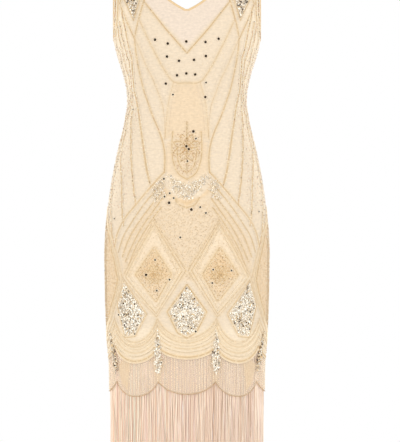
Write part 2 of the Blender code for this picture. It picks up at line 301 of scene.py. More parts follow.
def evenly_along(points, steps):
    """Points spaced evenly along a polyline, ends included."""
    points = np.asarray(points, float)
    lengths = np.concatenate([[0], np.cumsum(np.linalg.norm(np.diff(points, axis=0), axis=1))])
    wanted = np.linspace(0, lengths[-1], steps + 1)
    return np.column_stack([np.interp(wanted, lengths, points[:, k]) for k in range(2)])


def neckline_curve(side):
    knots = NECKLINES[side]
    at = np.linspace(0, len(knots) - 1, 121)
    order = np.arange(len(knots))
    runs = smooth_curve(at, order, [k.run for k in knots])
    rises = smooth_curve(at, order, [k.rise for k in knots])
    return np.column_stack([runs, rises])


def armhole_curve(surface):
    start = UNDERARM - CHEST_LINE
    turn = np.linspace(0, 0.5 * math.pi, 41)
    rises = list(start + ARMHOLE_CURVE * (1 - np.cos(turn)))
    rises += list(np.linspace(rises[-1], ROUND_OVER, 61)[1:])
    return np.column_stack([surface.edge_run(rises), rises])


def scallop_height(edge, share):
    """Heights of a scalloped edge at shares of the way from the centre line to the side seam."""
    share = np.abs(share)
    middle = 0.5 * (CUSP_NEAR + CUSP_FAR)
    along = np.where(share <= CUSP_NEAR, share / CUSP_NEAR, (share - middle) / (CUSP_FAR - middle))
    along = np.where(share > CUSP_FAR, (1 - share) / (1 - CUSP_FAR), along)
    low = np.where(share <= CUSP_NEAR, edge.centre, edge.middle)
    low = np.where(share > CUSP_FAR, edge.side, low)
    curve = 1 - np.sqrt(1 - (SCALLOP_ARC * along) ** 2)
    return low + (edge.cusp - low) * curve / (1 - math.sqrt(1 - SCALLOP_ARC**2))


# ---------------------------------------------------------------- meshes


def mesh_object(name, points, faces, materials, smooth=True):
    mesh = bpy.data.meshes.new(name)
    mesh.from_pydata(np.asarray(points, float).tolist(), [], np.asarray(faces).tolist())
    for made in materials:
        mesh.materials.append(made)
    if smooth:
        mesh.shade_smooth()
    mesh.update()
    made = bpy.data.objects.new(name, mesh)
    bpy.context.scene.collection.objects.link(made)
    return made


def add_tint(made, name, values):
    """Stores a value or a colour for each point, for the material to read."""
    values = np.asarray(values, float)
    if values.ndim == 1:
        attribute = made.data.attributes.new(name=name, type="FLOAT", domain="POINT")
        attribute.data.foreach_set("value", values.ravel())
        return
    attribute = made.data.attributes.new(name=name, type="FLOAT_COLOR", domain="POINT")
    colours = np.column_stack([values, np.ones(len(values))])
    attribute.data.foreach_set("color", colours.ravel())


def add_cloth_map(made, runs, rises):
    """Lays the mesh out flat, by the run and rise of each point."""
    layer = made.data.uv_layers.new(name="Cloth")
    loops = np.zeros(len(made.data.loops), int)
    made.data.loops.foreach_get("vertex_index", loops)
    layer.data.foreach_set("uv", np.column_stack([runs, rises])[loops].ravel())


def quads_of(index):
    """Four-cornered faces between the neighbours in a grid of point numbers."""
    corners = [index[:-1, :-1], index[:-1, 1:], index[1:, 1:], index[1:, :-1]]
    return np.stack(corners, axis=-1).reshape(-1, 4)


def tube_of(index):
    """Four-cornered faces round a tube, one ring of point numbers to a row."""
    return quads_of(np.column_stack([index, index[:, 0]]))


def halved(quads):
    return np.concatenate([quads[:, [0, 1, 2]], quads[:, [0, 2, 3]]])


def fan(ring, middle):
    """Triangles from each side of a ring to a middle point."""
    return np.column_stack([ring, np.roll(ring, -1), np.full(len(ring), middle)])


def rings(centres, first, second, turns):
    """Points round each centre, in the plane of two ways."""
    shape = centres[:, None, :] + np.cos(turns)[..., None] * first[:, None, :]
    return shape + np.sin(turns)[..., None] * second[:, None, :]


def even_turns(sides):
    return np.arange(sides) * math.tau / sides


class Sheet:
    """A grid of cloth, both halves, in runs and rises."""

    def __init__(self, surface, runs, rises):
        self.surface = surface
        self.runs = []
        self.rises = []
        self.faces = []
        for sign in (1, -1):
            self.add(sign * runs, rises, sign)
        self.runs = np.concatenate(self.runs)
        self.rises = np.concatenate(self.rises)
        self.weld()

    def add(self, runs, rises, sign):
        start = sum(len(part) for part in self.runs)
        rows, columns = runs.shape
        quads = quads_of(start + np.arange(rows * columns).reshape(rows, columns))
        self.faces.append(quads if sign * self.surface.facing < 0 else quads[:, ::-1])
        self.runs.append(runs.ravel())
        self.rises.append(rises.ravel())

    def weld(self):
        """Joins the halves where both lie on the centre line."""
        faces = np.concatenate(self.faces)
        keys = np.round(np.column_stack([self.runs, self.rises]), 6) + 0.0
        _, first, back = np.unique(keys, axis=0, return_index=True, return_inverse=True)
        self.runs = self.runs[first]
        self.rises = self.rises[first]
        self.faces = back.reshape(-1)[faces]

    def walled(self, name, wall, materials, lift=0.0):
        """Closed thin wall, its inner face in the second material."""
        points, normal = self.surface.place(self.runs, self.rises, lift)
        count = len(points)
        directed = np.concatenate([self.faces[:, [k, (k + 1) % 4]] for k in range(4)])
        codes = directed[:, 0] * count + directed[:, 1]
        reverse = directed[:, 1] * count + directed[:, 0]
        rim = directed[~np.isin(codes, reverse)]
        rim = np.column_stack([rim[:, 1], rim[:, 0], rim[:, 0] + count, rim[:, 1] + count])
        faces = np.concatenate([self.faces, self.faces[:, ::-1] + count, rim])
        made = mesh_object(name, np.concatenate([points, points - normal * wall]), faces, materials)
        slots = np.zeros(len(faces), int)
        slots[len(self.faces) : 2 * len(self.faces)] = len(materials) - 1
        made.data.polygons.foreach_set("material_index", slots)
        add_cloth_map(made, np.tile(self.runs, 2), np.tile(self.rises, 2))
        return made

    def area(self):
        """Flat area of the cut, from its runs and rises."""
        x, y = self.runs[self.faces], self.rises[self.faces]
        twice = np.zeros(len(self.faces))
        for k in range(4):
            twice += x[:, k] * y[:, (k + 1) % 4] - x[:, (k + 1) % 4] * y[:, k]
        return float(np.abs(twice).sum() / 2)


# Share of a panel's upper rows that lie under the neckline.
UNDER_NECK = 4 / 14


def panel_grid(surface, lower_rows, upper_rows, columns):
    """Runs and rises of half a panel, from the gold edge to the shoulder seam."""
    shares = np.linspace(0, 1, columns + 1)
    low = scallop_height(GOLD_EDGE, shares) - CHEST_LINE
    top = UNDERARM - CHEST_LINE
    part = np.linspace(0, 1, lower_rows + 1)[:-1, None]
    rises = low[None, :] + (top - low[None, :]) * part
    runs = shares[None, :] * surface.quarter_run(rises)
    knee = int(round(upper_rows * UNDER_NECK))
    neck = neckline_curve(surface.side)
    centre = np.column_stack([np.zeros(knee), np.linspace(top, neck[0, 1], knee + 1)[:-1]])
    inner = np.vstack([centre, evenly_along(neck, upper_rows - knee)])
    outer = evenly_along(armhole_curve(surface), upper_rows)
    upper = inner[:, None, :] + (outer - inner)[:, None, :] * shares[None, :, None]
    return np.vstack([runs, upper[..., 0]]), np.vstack([rises, upper[..., 1]])


def band_grid(surface, upper, overlap, lower, rows, columns):
    """Runs and rises of half a band between two scalloped edges, overlapping the upper one."""
    shares = np.linspace(0, 1, columns + 1)
    top, bottom = scallop_height(upper, shares) + overlap, scallop_height(lower, shares)
    part = np.linspace(0, 1, rows + 1)[:, None]
    rises = bottom[None, :] + (top - bottom)[None, :] * part - CHEST_LINE
    return shares[None, :] * surface.quarter_run(rises), rises


# ---------------------------------------------------------------- lines and fills on the cloth


def smooth_path(surface, knots, pitch, straight=False):
    """Runs and rises evenly spaced along a smooth line through a motif's knots."""
    spots = outline_of(surface, knots)
    if not straight and len(spots) > 2:
        order = np.concatenate([[0], np.cumsum(np.linalg.norm(np.diff(spots, axis=0), axis=1))])
        at = np.linspace(0, order[-1], 24 * len(spots))
        spots = np.column_stack([smooth_curve(at, order, spots[:, k]) for k in range(2)])
    return evenly_along(spots, max(2, int(round(path_length(spots) / pitch))))


OCTAHEDRON = np.array([[1, 0, 0], [-1, 0, 0], [0, 1, 0], [0, -1, 0], [0, 0, 1], [0, 0, -1]], float)
OCTAHEDRON_FACES = np.array(
    [[0, 2, 4], [2, 1, 4], [1, 3, 4], [3, 0, 4], [2, 0, 5], [1, 2, 5], [3, 1, 5], [0, 3, 5]]
)


class Gathered:
    """Many small bodies gathered into one mesh, each with its tint."""

    def __init__(self):
        self.points = []
        self.faces = []
        self.tints = []
        self.count = 0

    def gather(self, shapes, faces, tints):
        """Bodies with the same faces, their points in rows."""
        number, size = shapes.shape[:2]
        starts = self.count + size * np.arange(number)
        self.faces.append((faces[None] + starts[:, None, None]).reshape(-1, faces.shape[1]))
        self.points.append(shapes.reshape(-1, 3))
        self.tints.append(np.repeat(tints, size, axis=0))
        self.count += size * number

    def build(self, name, finish, smooth=False):
        points, faces = np.concatenate(self.points), np.concatenate(self.faces)
        made = mesh_object(name, points, faces, [finish], smooth)
        add_tint(made, "Tint", np.concatenate(self.tints))
        return made


class Beads(Gathered):
    """Small faceted beads."""

    def add(self, centres, along, across, up, tints):
        """Beads with their half axes as arrays of vectors, and a tint for each."""
        shape = (
            centres[:, None, :]
            + OCTAHEDRON[None, :, 0:1] * along[:, None, :]
            + OCTAHEDRON[None, :, 1:2] * across[:, None, :]
            + OCTAHEDRON[None, :, 2:3] * up[:, None, :]
        )
        self.gather(shape, OCTAHEDRON_FACES, tints)


def across_path(path):
    """Way across a path on the cloth at each of its points."""
    way = unit(np.gradient(path, axis=0))
    return np.column_stack([way[:, 1], -way[:, 0]])


# A couched band: the length of its steps, and its strength at each place across it.
BAND_STEP = 0.005
BAND_ACROSS = ((-1.0, 0.0), (-0.5, 0.62), (0.0, 1.0), (0.5, 0.62), (1.0, 0.0))


class Bands:
    """Soft bands of couched thread that fade into the net at both edges."""

    def __init__(self, surface):
        self.surface = surface
        self.runs = []
        self.rises = []
        self.strength = []
        self.lifts = []
        self.faces = []
        self.count = 0

    def add(self, path, half_width, strength=1.0):
        path = evenly_along(path, max(3, int(path_length(path) / BAND_STEP)))
        cross = across_path(path)
        columns = len(BAND_ACROSS)
        for across, share in BAND_ACROSS:
            spot = path + cross * across * half_width
            self.runs.append(spot[:, 0])
            self.rises.append(spot[:, 1])
            self.strength.append(np.full(len(spot), share * strength))
            self.lifts.append(np.full(len(spot), 0.00025 + 0.000012 * (len(self.faces) % 24)))
        rows = len(path)
        self.faces.append(quads_of(self.count + np.arange(rows * columns).reshape(columns, rows)))
        self.count += rows * columns

    def build(self, name, finish):
        surface = self.surface
        runs, rises = np.concatenate(self.runs), np.concatenate(self.rises)
        runs = np.clip(runs, -surface.quarter_run(rises), surface.quarter_run(rises))
        points, normal = surface.place(runs, rises, np.concatenate(self.lifts))
        faces = np.concatenate(self.faces)
        corners = points[faces]
        facing = np.cross(corners[:, 1] - corners[:, 0], corners[:, 2] - corners[:, 0])
        turned = np.sum(facing * normal[faces[:, 0]], axis=1) < 0
        faces = np.where(turned[:, None], faces[:, ::-1], faces)
        made = mesh_object(name, points, faces, [finish])
        add_cloth_map(made, runs, rises)
        for key, values in cloth_regions(surface, runs, rises).items():
            add_tint(made, key, values)
        add_tint(made, "Couched", np.concatenate(self.strength))
        return made


def inside(points, outline):
    """True for each point inside a closed outline."""
    x, y = points[:, 0], points[:, 1]
    found = np.zeros(len(points), bool)
    for (x0, y0), (x1, y1) in zip(outline, np.roll(outline, -1, axis=0)):
        crosses = (y0 > y) != (y1 > y)
        at = x0 + (y - y0) * (x1 - x0) / (y1 - y0 + 1e-15)
        found ^= crosses & (x < at)
    return found


JITTER = 0.38


def scattered(outline, spacing, rng):
    """Places on a jittered triangular grid inside an outline."""
    low, high = outline.min(axis=0), outline.max(axis=0)
    rows = np.arange(low[1], high[1], spacing * 0.866)
    places = []
    for number, rise in enumerate(rows):
        runs = np.arange(low[0] + (number % 2) * spacing / 2, high[0], spacing)
        places.append(np.column_stack([runs, np.full(len(runs), rise)]))
    if not places:
        return np.zeros((0, 2))
    places = np.concatenate(places)
    places = places + rng.uniform(-JITTER, JITTER, places.shape) * spacing
    return places[inside(places, outline)]


class Sequins(Gathered):
    """Small cupped six-sided sequins."""

    SIDES = 6
    CUP = 0.22

    def add(self, centres, normal, radius, tints, tilt, rng):
        side, up = (-way for way in ways_on(normal))
        tip_side = side * rng.normal(0, tilt, (len(centres), 1))
        tip_up = up * rng.normal(0, tilt, (len(centres), 1))
        lean = unit(normal + tip_side + tip_up)
        side = unit(np.cross(up, lean))
        up = np.cross(lean, side)
        turns = rng.uniform(0, math.tau, len(centres))[:, None] + even_turns(self.SIDES)
        ring = rings(centres, side * radius, up * radius, turns)
        middle = (centres - lean * radius * self.CUP)[:, None, :]
        shape = np.concatenate([ring, middle], axis=1)
        self.gather(shape, fan(np.arange(self.SIDES), self.SIDES), tints)


# ---------------------------------------------------------------- materials


def linear(red, green, blue):
    """Scene-linear colour from a display colour of 0 to 255."""
    shown = (value / 255 for value in (red, green, blue))
    return tuple(v / 12.92 if v <= 0.04045 else ((v + 0.055) / 1.055) ** 2.4 for v in shown)


# Colours as they show in soft white light.
LINING = linear(246, 230, 211)
YOKE = linear(221, 205, 188)
NET = linear(221, 204, 180)
TAN = linear(221, 191, 149)
PALE = linear(243, 226, 199)
THREAD = linear(206, 180, 135)
GOLD_BEAD = linear(217, 187, 141)
EDGE_BEAD = tuple(0.80 * value for value in GOLD_BEAD)
CREAM_BEAD = linear(248, 232, 203)
SILVER = linear(232, 219, 199)
BRIGHT = linear(252, 246, 231)
SAND = linear(226, 207, 176)
DARK = linear(70, 54, 44)
STONE = linear(48, 34, 22)
SETTING = linear(250, 238, 216)
ROSE_BEAD = linear(202, 156, 132)
BROWN = linear(128, 98, 74)
TIER = linear(248, 233, 212)
LEAF = linear(236, 208, 170)
FRINGE_TINTS = (linear(254, 230, 206), linear(249, 222, 204), linear(255, 236, 216), linear(234, 202, 176))
FRINGE_SHARES = (0.42, 0.26, 0.18, 0.14)
BINDING = linear(221, 191, 148)


class Nodes:
    """Short ways to add and link shader nodes."""

    def __init__(self, name):
        self.material = bpy.data.materials.new(name)
        self.material.use_nodes = True
        self.tree = self.material.node_tree
        self.shader = self.tree.nodes["Principled BSDF"]

    def add(self, kind, **settings):
        node = self.tree.nodes.new(kind)
        for key, value in settings.items():
            setattr(node, key, value)
        return node

    def link(self, start, end):
        self.tree.links.new(start, end)

    def math(self, operation, first, second=None):
        node = self.add("ShaderNodeMath", operation=operation)
        for socket, given in zip(node.inputs, (first, second)):
            if given is None:
                continue
            if isinstance(given, (int, float)):
                socket.default_value = given
            else:
                self.link(given, socket)
        return node.outputs[0]

    def mix(self, factor, first, second, blend="MIX"):
        node = self.add("ShaderNodeMix", data_type="RGBA", blend_type=blend)
        sockets = [node.inputs[0], node.inputs[6], node.inputs[7]]
        for socket, given in zip(sockets, (factor, first, second)):
            if isinstance(given, (int, float)):
                socket.default_value = given
            elif isinstance(given, tuple):
                socket.default_value = (*given, 1.0)
            else:
                self.link(given, socket)
        return node.outputs[2]

    def scaled(self, value, gain, start):
        """A value times a gain, added to a start."""
        result = self.math("MULTIPLY_ADD", value, gain)
        result.node.inputs[2].default_value = start
        return result

    def texture(self, kind, vector, values, **settings):
        node = self.add(kind, **settings)
        self.link(vector, node.inputs["Vector"])
        for socket, value in values.items():
            node.inputs[socket].default_value = value
        return node.outputs

    def cloth(self):
        """Run and rise of the cloth."""
        return self.add("ShaderNodeUVMap", uv_map="Cloth").outputs[0]

    def body(self):
        return self.add("ShaderNodeTexCoord").outputs["Object"]

    def base(self, colour):
        self.link(colour, self.shader.inputs["Base Color"])

    def attribute(self, name, colour=False):
        node = self.add("ShaderNodeAttribute", attribute_name=name)
        return node.outputs["Color" if colour else "Fac"]

    def bump(self, height, strength, distance):
        node = self.add("ShaderNodeBump")
        node.inputs["Strength"].default_value = strength
        node.inputs["Distance"].default_value = distance
        self.link(height, node.inputs["Height"])
        self.link(node.outputs[0], self.shader.inputs["Normal"])

    def set(self, **values):
        for key, value in values.items():
            self.shader.inputs[key.replace("_", " ")].default_value = value


NET_CELL = 0.0030


def net_threads(nodes):
    """Height of a fine diamond net: two sets of threads crossing on the slant, 1 on a thread."""
    split = nodes.add("ShaderNodeSeparateXYZ")
    nodes.link(nodes.cloth(), split.inputs[0])
    run, rise = split.outputs[0], split.outputs[1]
    threads = []
    for slope in (0.8, -0.8):
        slant = nodes.math("ADD", run, nodes.math("MULTIPLY", rise, slope))
        wave = nodes.math("COSINE", nodes.math("MULTIPLY", slant, math.tau / NET_CELL))
        threads.append(nodes.scaled(wave, 0.5, 0.5))
    return nodes.math("POWER", nodes.math("MAXIMUM", *threads), 2.0)


def beaded_net_material():
    nodes = Nodes("beaded_net")
    threads = net_threads(nodes)
    cloth = nodes.cloth()
    speckle = nodes.texture("ShaderNodeTexVoronoi", cloth, {"Scale": 210.0}, feature="F1")
    seeds = nodes.math("LESS_THAN", speckle["Distance"], 0.24)
    cloudy = nodes.texture("ShaderNodeTexNoise", cloth, {"Scale": 170.0, "Detail": 3.0})
    courses = nodes.texture("ShaderNodeMapping", cloth, {"Scale": (90.0, 420.0, 1.0)})
    streaks = nodes.texture("ShaderNodeTexNoise", courses[0], {"Scale": 1.0, "Detail": 2.0})
    ground = nodes.mix(nodes.attribute("Yoke"), NET, YOKE)
    ground = nodes.mix(nodes.attribute("Tan"), ground, TAN)
    ground = nodes.mix(nodes.attribute("Pale"), ground, PALE)
    thread = nodes.mix(0.35, ground, TAN)
    colour = nodes.mix(nodes.math("MULTIPLY", threads, 0.42), ground, thread)
    seeded = nodes.math("MULTIPLY", seeds, nodes.attribute("Seeded"))
    colour = nodes.mix(nodes.math("MULTIPLY", seeded, 0.55), colour, GOLD_BEAD)
    colour = nodes.mix(nodes.math("MULTIPLY", nodes.attribute("Couched"), 0.85), colour, THREAD)
    shade = nodes.scaled(nodes.math("ADD", cloudy[0], streaks[0]), 0.28, 0.74)
    nodes.base(nodes.mix(1.0, colour, shade, blend="MULTIPLY"))
    nodes.set(Roughness=0.62, Sheen_Weight=0.12, Sheen_Roughness=0.4)
    nodes.bump(nodes.math("ADD", threads, nodes.math("MULTIPLY", seeded, 1.5)), 0.35, 0.0004)
    return nodes.material


def lining_material():
    nodes = Nodes("nude_lining")
    weave = nodes.texture("ShaderNodeTexNoise", nodes.cloth(), {"Scale": 900.0})[0]
    nodes.base(nodes.mix(weave, LINING, tuple(0.93 * v for v in LINING)))
    nodes.set(Roughness=0.45, Sheen_Weight=0.2)
    nodes.bump(weave, 0.15, 0.0002)
    return nodes.material


def tier_material():
    """Sheer net: thread colour on the threads and mostly clear between them."""
    nodes = Nodes("sheer_net")
    threads = net_threads(nodes)
    tan = nodes.attribute("Tan")
    nodes.base(nodes.mix(tan, TIER, LEAF))
    cover = nodes.math("MAXIMUM", nodes.scaled(threads, 0.30, 0.06), nodes.math("MULTIPLY", tan, 0.92))
    nodes.link(cover, nodes.shader.inputs["Alpha"])
    nodes.set(Roughness=0.6, Sheen_Weight=0.1)
    nodes.bump(threads, 0.3, 0.0003)
    return nodes.material


def tinted_material(name, roughness, metallic, coat=0.0, specular=0.5):
    """Colour from each bead's or sequin's own tint, with a fine mottle."""
    nodes = Nodes(name)
    mottle = nodes.texture("ShaderNodeTexNoise", nodes.body(), {"Scale": 900.0})[0]
    shade = nodes.scaled(mottle, 0.16, 0.92)
    nodes.base(nodes.mix(1.0, nodes.attribute("Tint", colour=True), shade, blend="MULTIPLY"))
    nodes.link(nodes.scaled(mottle, 0.15, roughness - 0.075), nodes.shader.inputs["Roughness"])
    nodes.set(Metallic=metallic, Coat_Weight=coat, Coat_Roughness=0.15, Specular_IOR_Level=specular)
    return nodes.material


def binding_material():
    nodes = Nodes("gold_binding")
    grain = nodes.texture("ShaderNodeTexVoronoi", nodes.body(), {"Scale": 600.0}, feature="F1")
    nodes.base(nodes.mix(grain["Distance"], BINDING, GOLD_BEAD))
    nodes.set(Roughness=0.5, Sheen_Weight=0.15)
    nodes.bump(grain["Distance"], 0.5, 0.0006)
    return nodes.material


def glowing_fringe_material():
    nodes = Nodes("fringe")
    values = {"Scale": 260.0, "Distortion": 1.0}
    way = {"wave_type": "BANDS", "bands_direction": "DIAGONAL"}
    twist = nodes.texture("ShaderNodeTexWave", nodes.body(), values, **way)["Fac"]
    shade = nodes.scaled(twist, 0.10, 0.94)
    colour = nodes.mix(1.0, nodes.attribute("Tint", colour=True), shade, blend="MULTIPLY")
    nodes.base(colour)
    # Painted light: the strands glow faintly in their own colour, which lifts the fringe where its strands
    # shade each other.
    nodes.link(colour, nodes.shader.inputs["Emission Color"])
    nodes.set(Roughness=0.42, Sheen_Weight=0.4, Sheen_Roughness=0.35, Emission_Strength=0.10)
    nodes.bump(twist, 0.3, 0.0003)
    return nodes.material


# ---------------------------------------------------------------- the design

# Bead lines on the dress's left half, mirrored to the right. Each has its knots.
BODICE_LINES = {
    "big_v": (
        Share(0.0, -0.255),
        Share(0.208, -0.203),
        Share(0.404, -0.148),
        Run(0.096, 0.010),
        Run(0.101, 0.070),
        Run(0.103, 0.139),
    ),
    "kite_inner": (Share(0.531, -0.224), Share(0.410, -0.141), Run(0.119, 0.045)),
    "kite_outer": (Share(0.531, -0.224), Share(0.600, -0.187), Run(0.148, -0.045), Run(0.119, 0.045)),
    "second_v": marks(
        (0.000, -0.317), (0.150, -0.315), (0.210, -0.301), (0.255, -0.285), (0.327, -0.251),
        (0.404, -0.214), (0.455, -0.187),
    ),
    "column_side": marks(
        (0.526, -0.222), (0.476, -0.253), (0.442, -0.280), (0.395, -0.305), (0.346, -0.334),
        (0.286, -0.366), (0.254, -0.398), (0.240, -0.434),
    ),
    "waist_one": marks(
        (0.526, -0.222), (0.532, -0.250), (0.536, -0.275), (0.530, -0.329), (0.467, -0.363),
        (0.390, -0.391), (0.306, -0.420), (0.250, -0.448), (0.232, -0.466), (0.225, -0.504),
    ),
    "waist_two": marks(
        (0.646, -0.166), (0.633, -0.189), (0.623, -0.208), (0.623, -0.229), (0.615, -0.248),
        (0.603, -0.264), (0.623, -0.283), (0.659, -0.304), (0.684, -0.338), (0.627, -0.369),
        (0.584, -0.392), (0.538, -0.415), (0.484, -0.446), (0.447, -0.471), (0.410, -0.498),
        (0.376, -0.519), (0.354, -0.532),
    ),
    "waist_three": marks(
        (0.685, -0.188), (0.689, -0.216), (0.686, -0.239), (0.669, -0.258), (0.656, -0.272),
        (0.675, -0.291), (0.701, -0.310), (0.732, -0.326), (0.755, -0.351), (0.734, -0.377),
        (0.691, -0.414), (0.632, -0.456), (0.606, -0.477), (0.567, -0.509), (0.531, -0.540),
        (0.495, -0.571),
    ),
    "waist_four": marks(
        (0.724, -0.197), (0.744, -0.230), (0.747, -0.251), (0.746, -0.274), (0.740, -0.293),
        (0.743, -0.310), (0.777, -0.330), (0.803, -0.353), (0.805, -0.376), (0.806, -0.397),
        (0.803, -0.420), (0.806, -0.441), (0.792, -0.462), (0.755, -0.488), (0.702, -0.519),
        (0.663, -0.561), (0.642, -0.592), (0.618, -0.615),
    ),
    "waist_five": marks(
        (0.832, -0.221), (0.853, -0.246), (0.825, -0.263), (0.837, -0.282), (0.852, -0.303),
        (0.877, -0.326), (0.889, -0.347), (0.877, -0.368), (0.884, -0.389), (0.889, -0.410),
        (0.883, -0.435), (0.866, -0.466), (0.867, -0.498), (0.864, -0.529), (0.845, -0.561),
        (0.810, -0.592), (0.774, -0.624), (0.742, -0.645), (0.715, -0.659),
    ),
    "trapezoid": marks(
        (0.150, -0.315), (0.170, -0.327), (0.222, -0.361), (0.236, -0.398), (0.238, -0.430),
    ),
}

SKIRT_LINES = {
    "tent_one": marks(
        (0.229, -0.503), (0.343, -0.531), (0.496, -0.571), (0.618, -0.602), (0.689, -0.631),
        (0.722, -0.660),
    ),
    "tent_two": marks((0.238, -0.523), (0.417, -0.572), (0.524, -0.606), (0.619, -0.638), (0.670, -0.670)),
    "tent_three": marks(
        (0.228, -0.541), (0.351, -0.576), (0.456, -0.608), (0.553, -0.642), (0.625, -0.680),
    ),
    "tent_four": marks(
        (0.233, -0.558), (0.328, -0.588), (0.418, -0.617), (0.510, -0.654), (0.590, -0.690),
    ),
    "tent_five": marks(
        (0.242, -0.577), (0.306, -0.596), (0.385, -0.624), (0.477, -0.660), (0.555, -0.698),
    ),
    "crescent_under": marks((0.000, -0.577), (0.073, -0.571), (0.120, -0.556)),
    "outer_hoop": marks(
        (0.157, -0.418), (0.159, -0.449), (0.139, -0.481), (0.076, -0.508), (0.000, -0.518),
    ),
    "inner_hoop": marks((0.106, -0.445), (0.095, -0.472), (0.056, -0.495), (0.000, -0.504)),
    "stem": marks((0.0, -0.398), (0.0, -0.500)),
}

# Closed figures on the left half: corners in order.
DIAMOND = marks((0.300, -0.605), (0.608, -0.722), (0.278, -0.802), (0.024, -0.708))
DIAMOND_HEART = marks((0.299, -0.660), (0.480, -0.717), (0.280, -0.774), (0.139, -0.716))
DIAMOND_CENTRE = Share(0.300, -0.717)
SIDE_DIAMOND = marks(
    (1.000, -0.575), (0.787, -0.635), (0.705, -0.683), (0.655, -0.727), (0.695, -0.756), (0.750, -0.783),
    (0.808, -0.811), (1.000, -0.862),
)
CENTRE_KITE = marks((0.0, -0.744), (0.152, -0.796), (0.070, -0.832), (0.0, -0.842))
SIDE_KITE = marks((0.600, -0.735), (0.400, -0.799), (0.500, -0.839), (0.600, -0.842), (0.668, -0.783))
STRAP_KITE = (Run(0.1150, -0.080), Run(0.1010, -0.028), Run(0.1170, 0.032), Run(0.1330, -0.028))
CRESCENT = marks(
    (0.0, -0.560), (0.063, -0.555), (0.126, -0.541), (0.190, -0.515), (0.165, -0.508), (0.086, -0.521),
    (0.0, -0.529),
)
SPRINKLES = marks((0.215, -0.512), (0.330, -0.532), (0.300, -0.566), (0.215, -0.548))
MEDALLION = Share(0.0, -0.452)

# Dark stones by share and height: the large ones, then the small ones.
STUDS = marks(
    (-0.310, -0.227), (-0.186, -0.235), (-0.006, -0.231), (0.180, -0.232), (0.308, -0.225),
    (-0.200, -0.262), (-0.080, -0.271), (0.072, -0.269), (0.190, -0.261), (-0.108, -0.301),
    (-0.006, -0.297), (0.090, -0.299), (-0.240, -0.318), (0.217, -0.346), (0.072, -0.418),
    (-0.006, -0.449), (0.020, -0.455), (-0.372, -0.717), (-0.168, -0.567), (0.042, -0.581),
    (-0.494, -0.148),
)
SMALL_STUDS = marks(
    (-0.164, -0.341), (0.217, -0.316), (0.098, -0.433), (0.005, -0.480), (-0.226, -0.517),
    (-0.213, -0.554), (-0.125, -0.557), (-0.164, -0.547), (0.125, -0.576), (0.177, -0.588),
    (-0.060, -0.639), (-0.157, -0.727), (-0.288, -0.686), (-0.273, -0.750), (0.238, -0.706),
    (0.410, -0.708), (0.230, -0.734), (-0.496, -0.840), (0.081, -0.835), (-0.240, -0.900), (0.300, -0.902),
    (-0.677, -0.801), (-0.745, -0.600), (-0.717, -0.371), (0.745, -0.585),
)


BEAD_PITCH = 0.0027


def mirrored(path, sign):
    return path * np.array([sign, 1.0])


def outline_of(surface, knots):
    return np.array([surface.spot(knot) for knot in knots])


def grown(outline, distance):
    """An outline moved out from its middle by about a distance."""
    middle = outline.mean(axis=0)
    away = outline - middle
    length = np.linalg.norm(away, axis=1, keepdims=True)
    return middle + away * (1 + distance / np.maximum(length, 1e-6))


def closed_path(outline):
    loop = np.vstack([outline, outline[:1]])
    return evenly_along(loop, max(6, int(round(path_length(loop) / BEAD_PITCH))))


def both_halves(outline):
    """A figure on the centre line, from its left half."""
    return np.vstack([outline, mirrored(outline[1:-1][::-1], -1)])


# A stitched line: half width of the couched band, half width of a bead, how far the pale side rows
# stand from the middle (0 for none), how mixed the bead colours are (below 0 for all cream), and how
# strongly the band shows.
Line = namedtuple("Line", "band bead side speckle strength")
ROPE = Line(0.0046, 0.0011, 0.0, 0.05, 0.75)
FINE = Line(0.0032, 0.0008, 0.0, 0.0, 0.75)
SPECKLED = Line(0.0038, 0.0015, 0.0034, 0.60, 0.80)
HEAVY = Line(0.0050, 0.0013, 0.0040, 0.26, 0.80)
EDGE = Line(0.0052, 0.0012, 0.0028, 0.0, 0.62)
SOFT = Line(0.0060, 0.0006, 0.0, 0.0, 0.52)
FAINT = Line(0.0070, 0.0005, 0.0, 0.0, 0.32)
PETAL = Line(0.0030, 0.0009, 0.0, 0.20, 0.70)
PALE_ROW = Line(0.0, 0.0010, 0.0, -1.0, 0.0)
PALE_ROPE = Line(0.0, 0.0019, 0.0, -1.0, 0.0)


def upper_part(path):
    """1 on the bodice, fading to 0 below the waist."""
    return smooth_step((height_of(path[:, 1]) + 0.43) / 0.12)


def varied(tint, number, rng, low, high):
    """One tint for each of many beads, a little lighter or darker."""
    return np.array(tint) * rng.uniform(low, high, (number, 1))


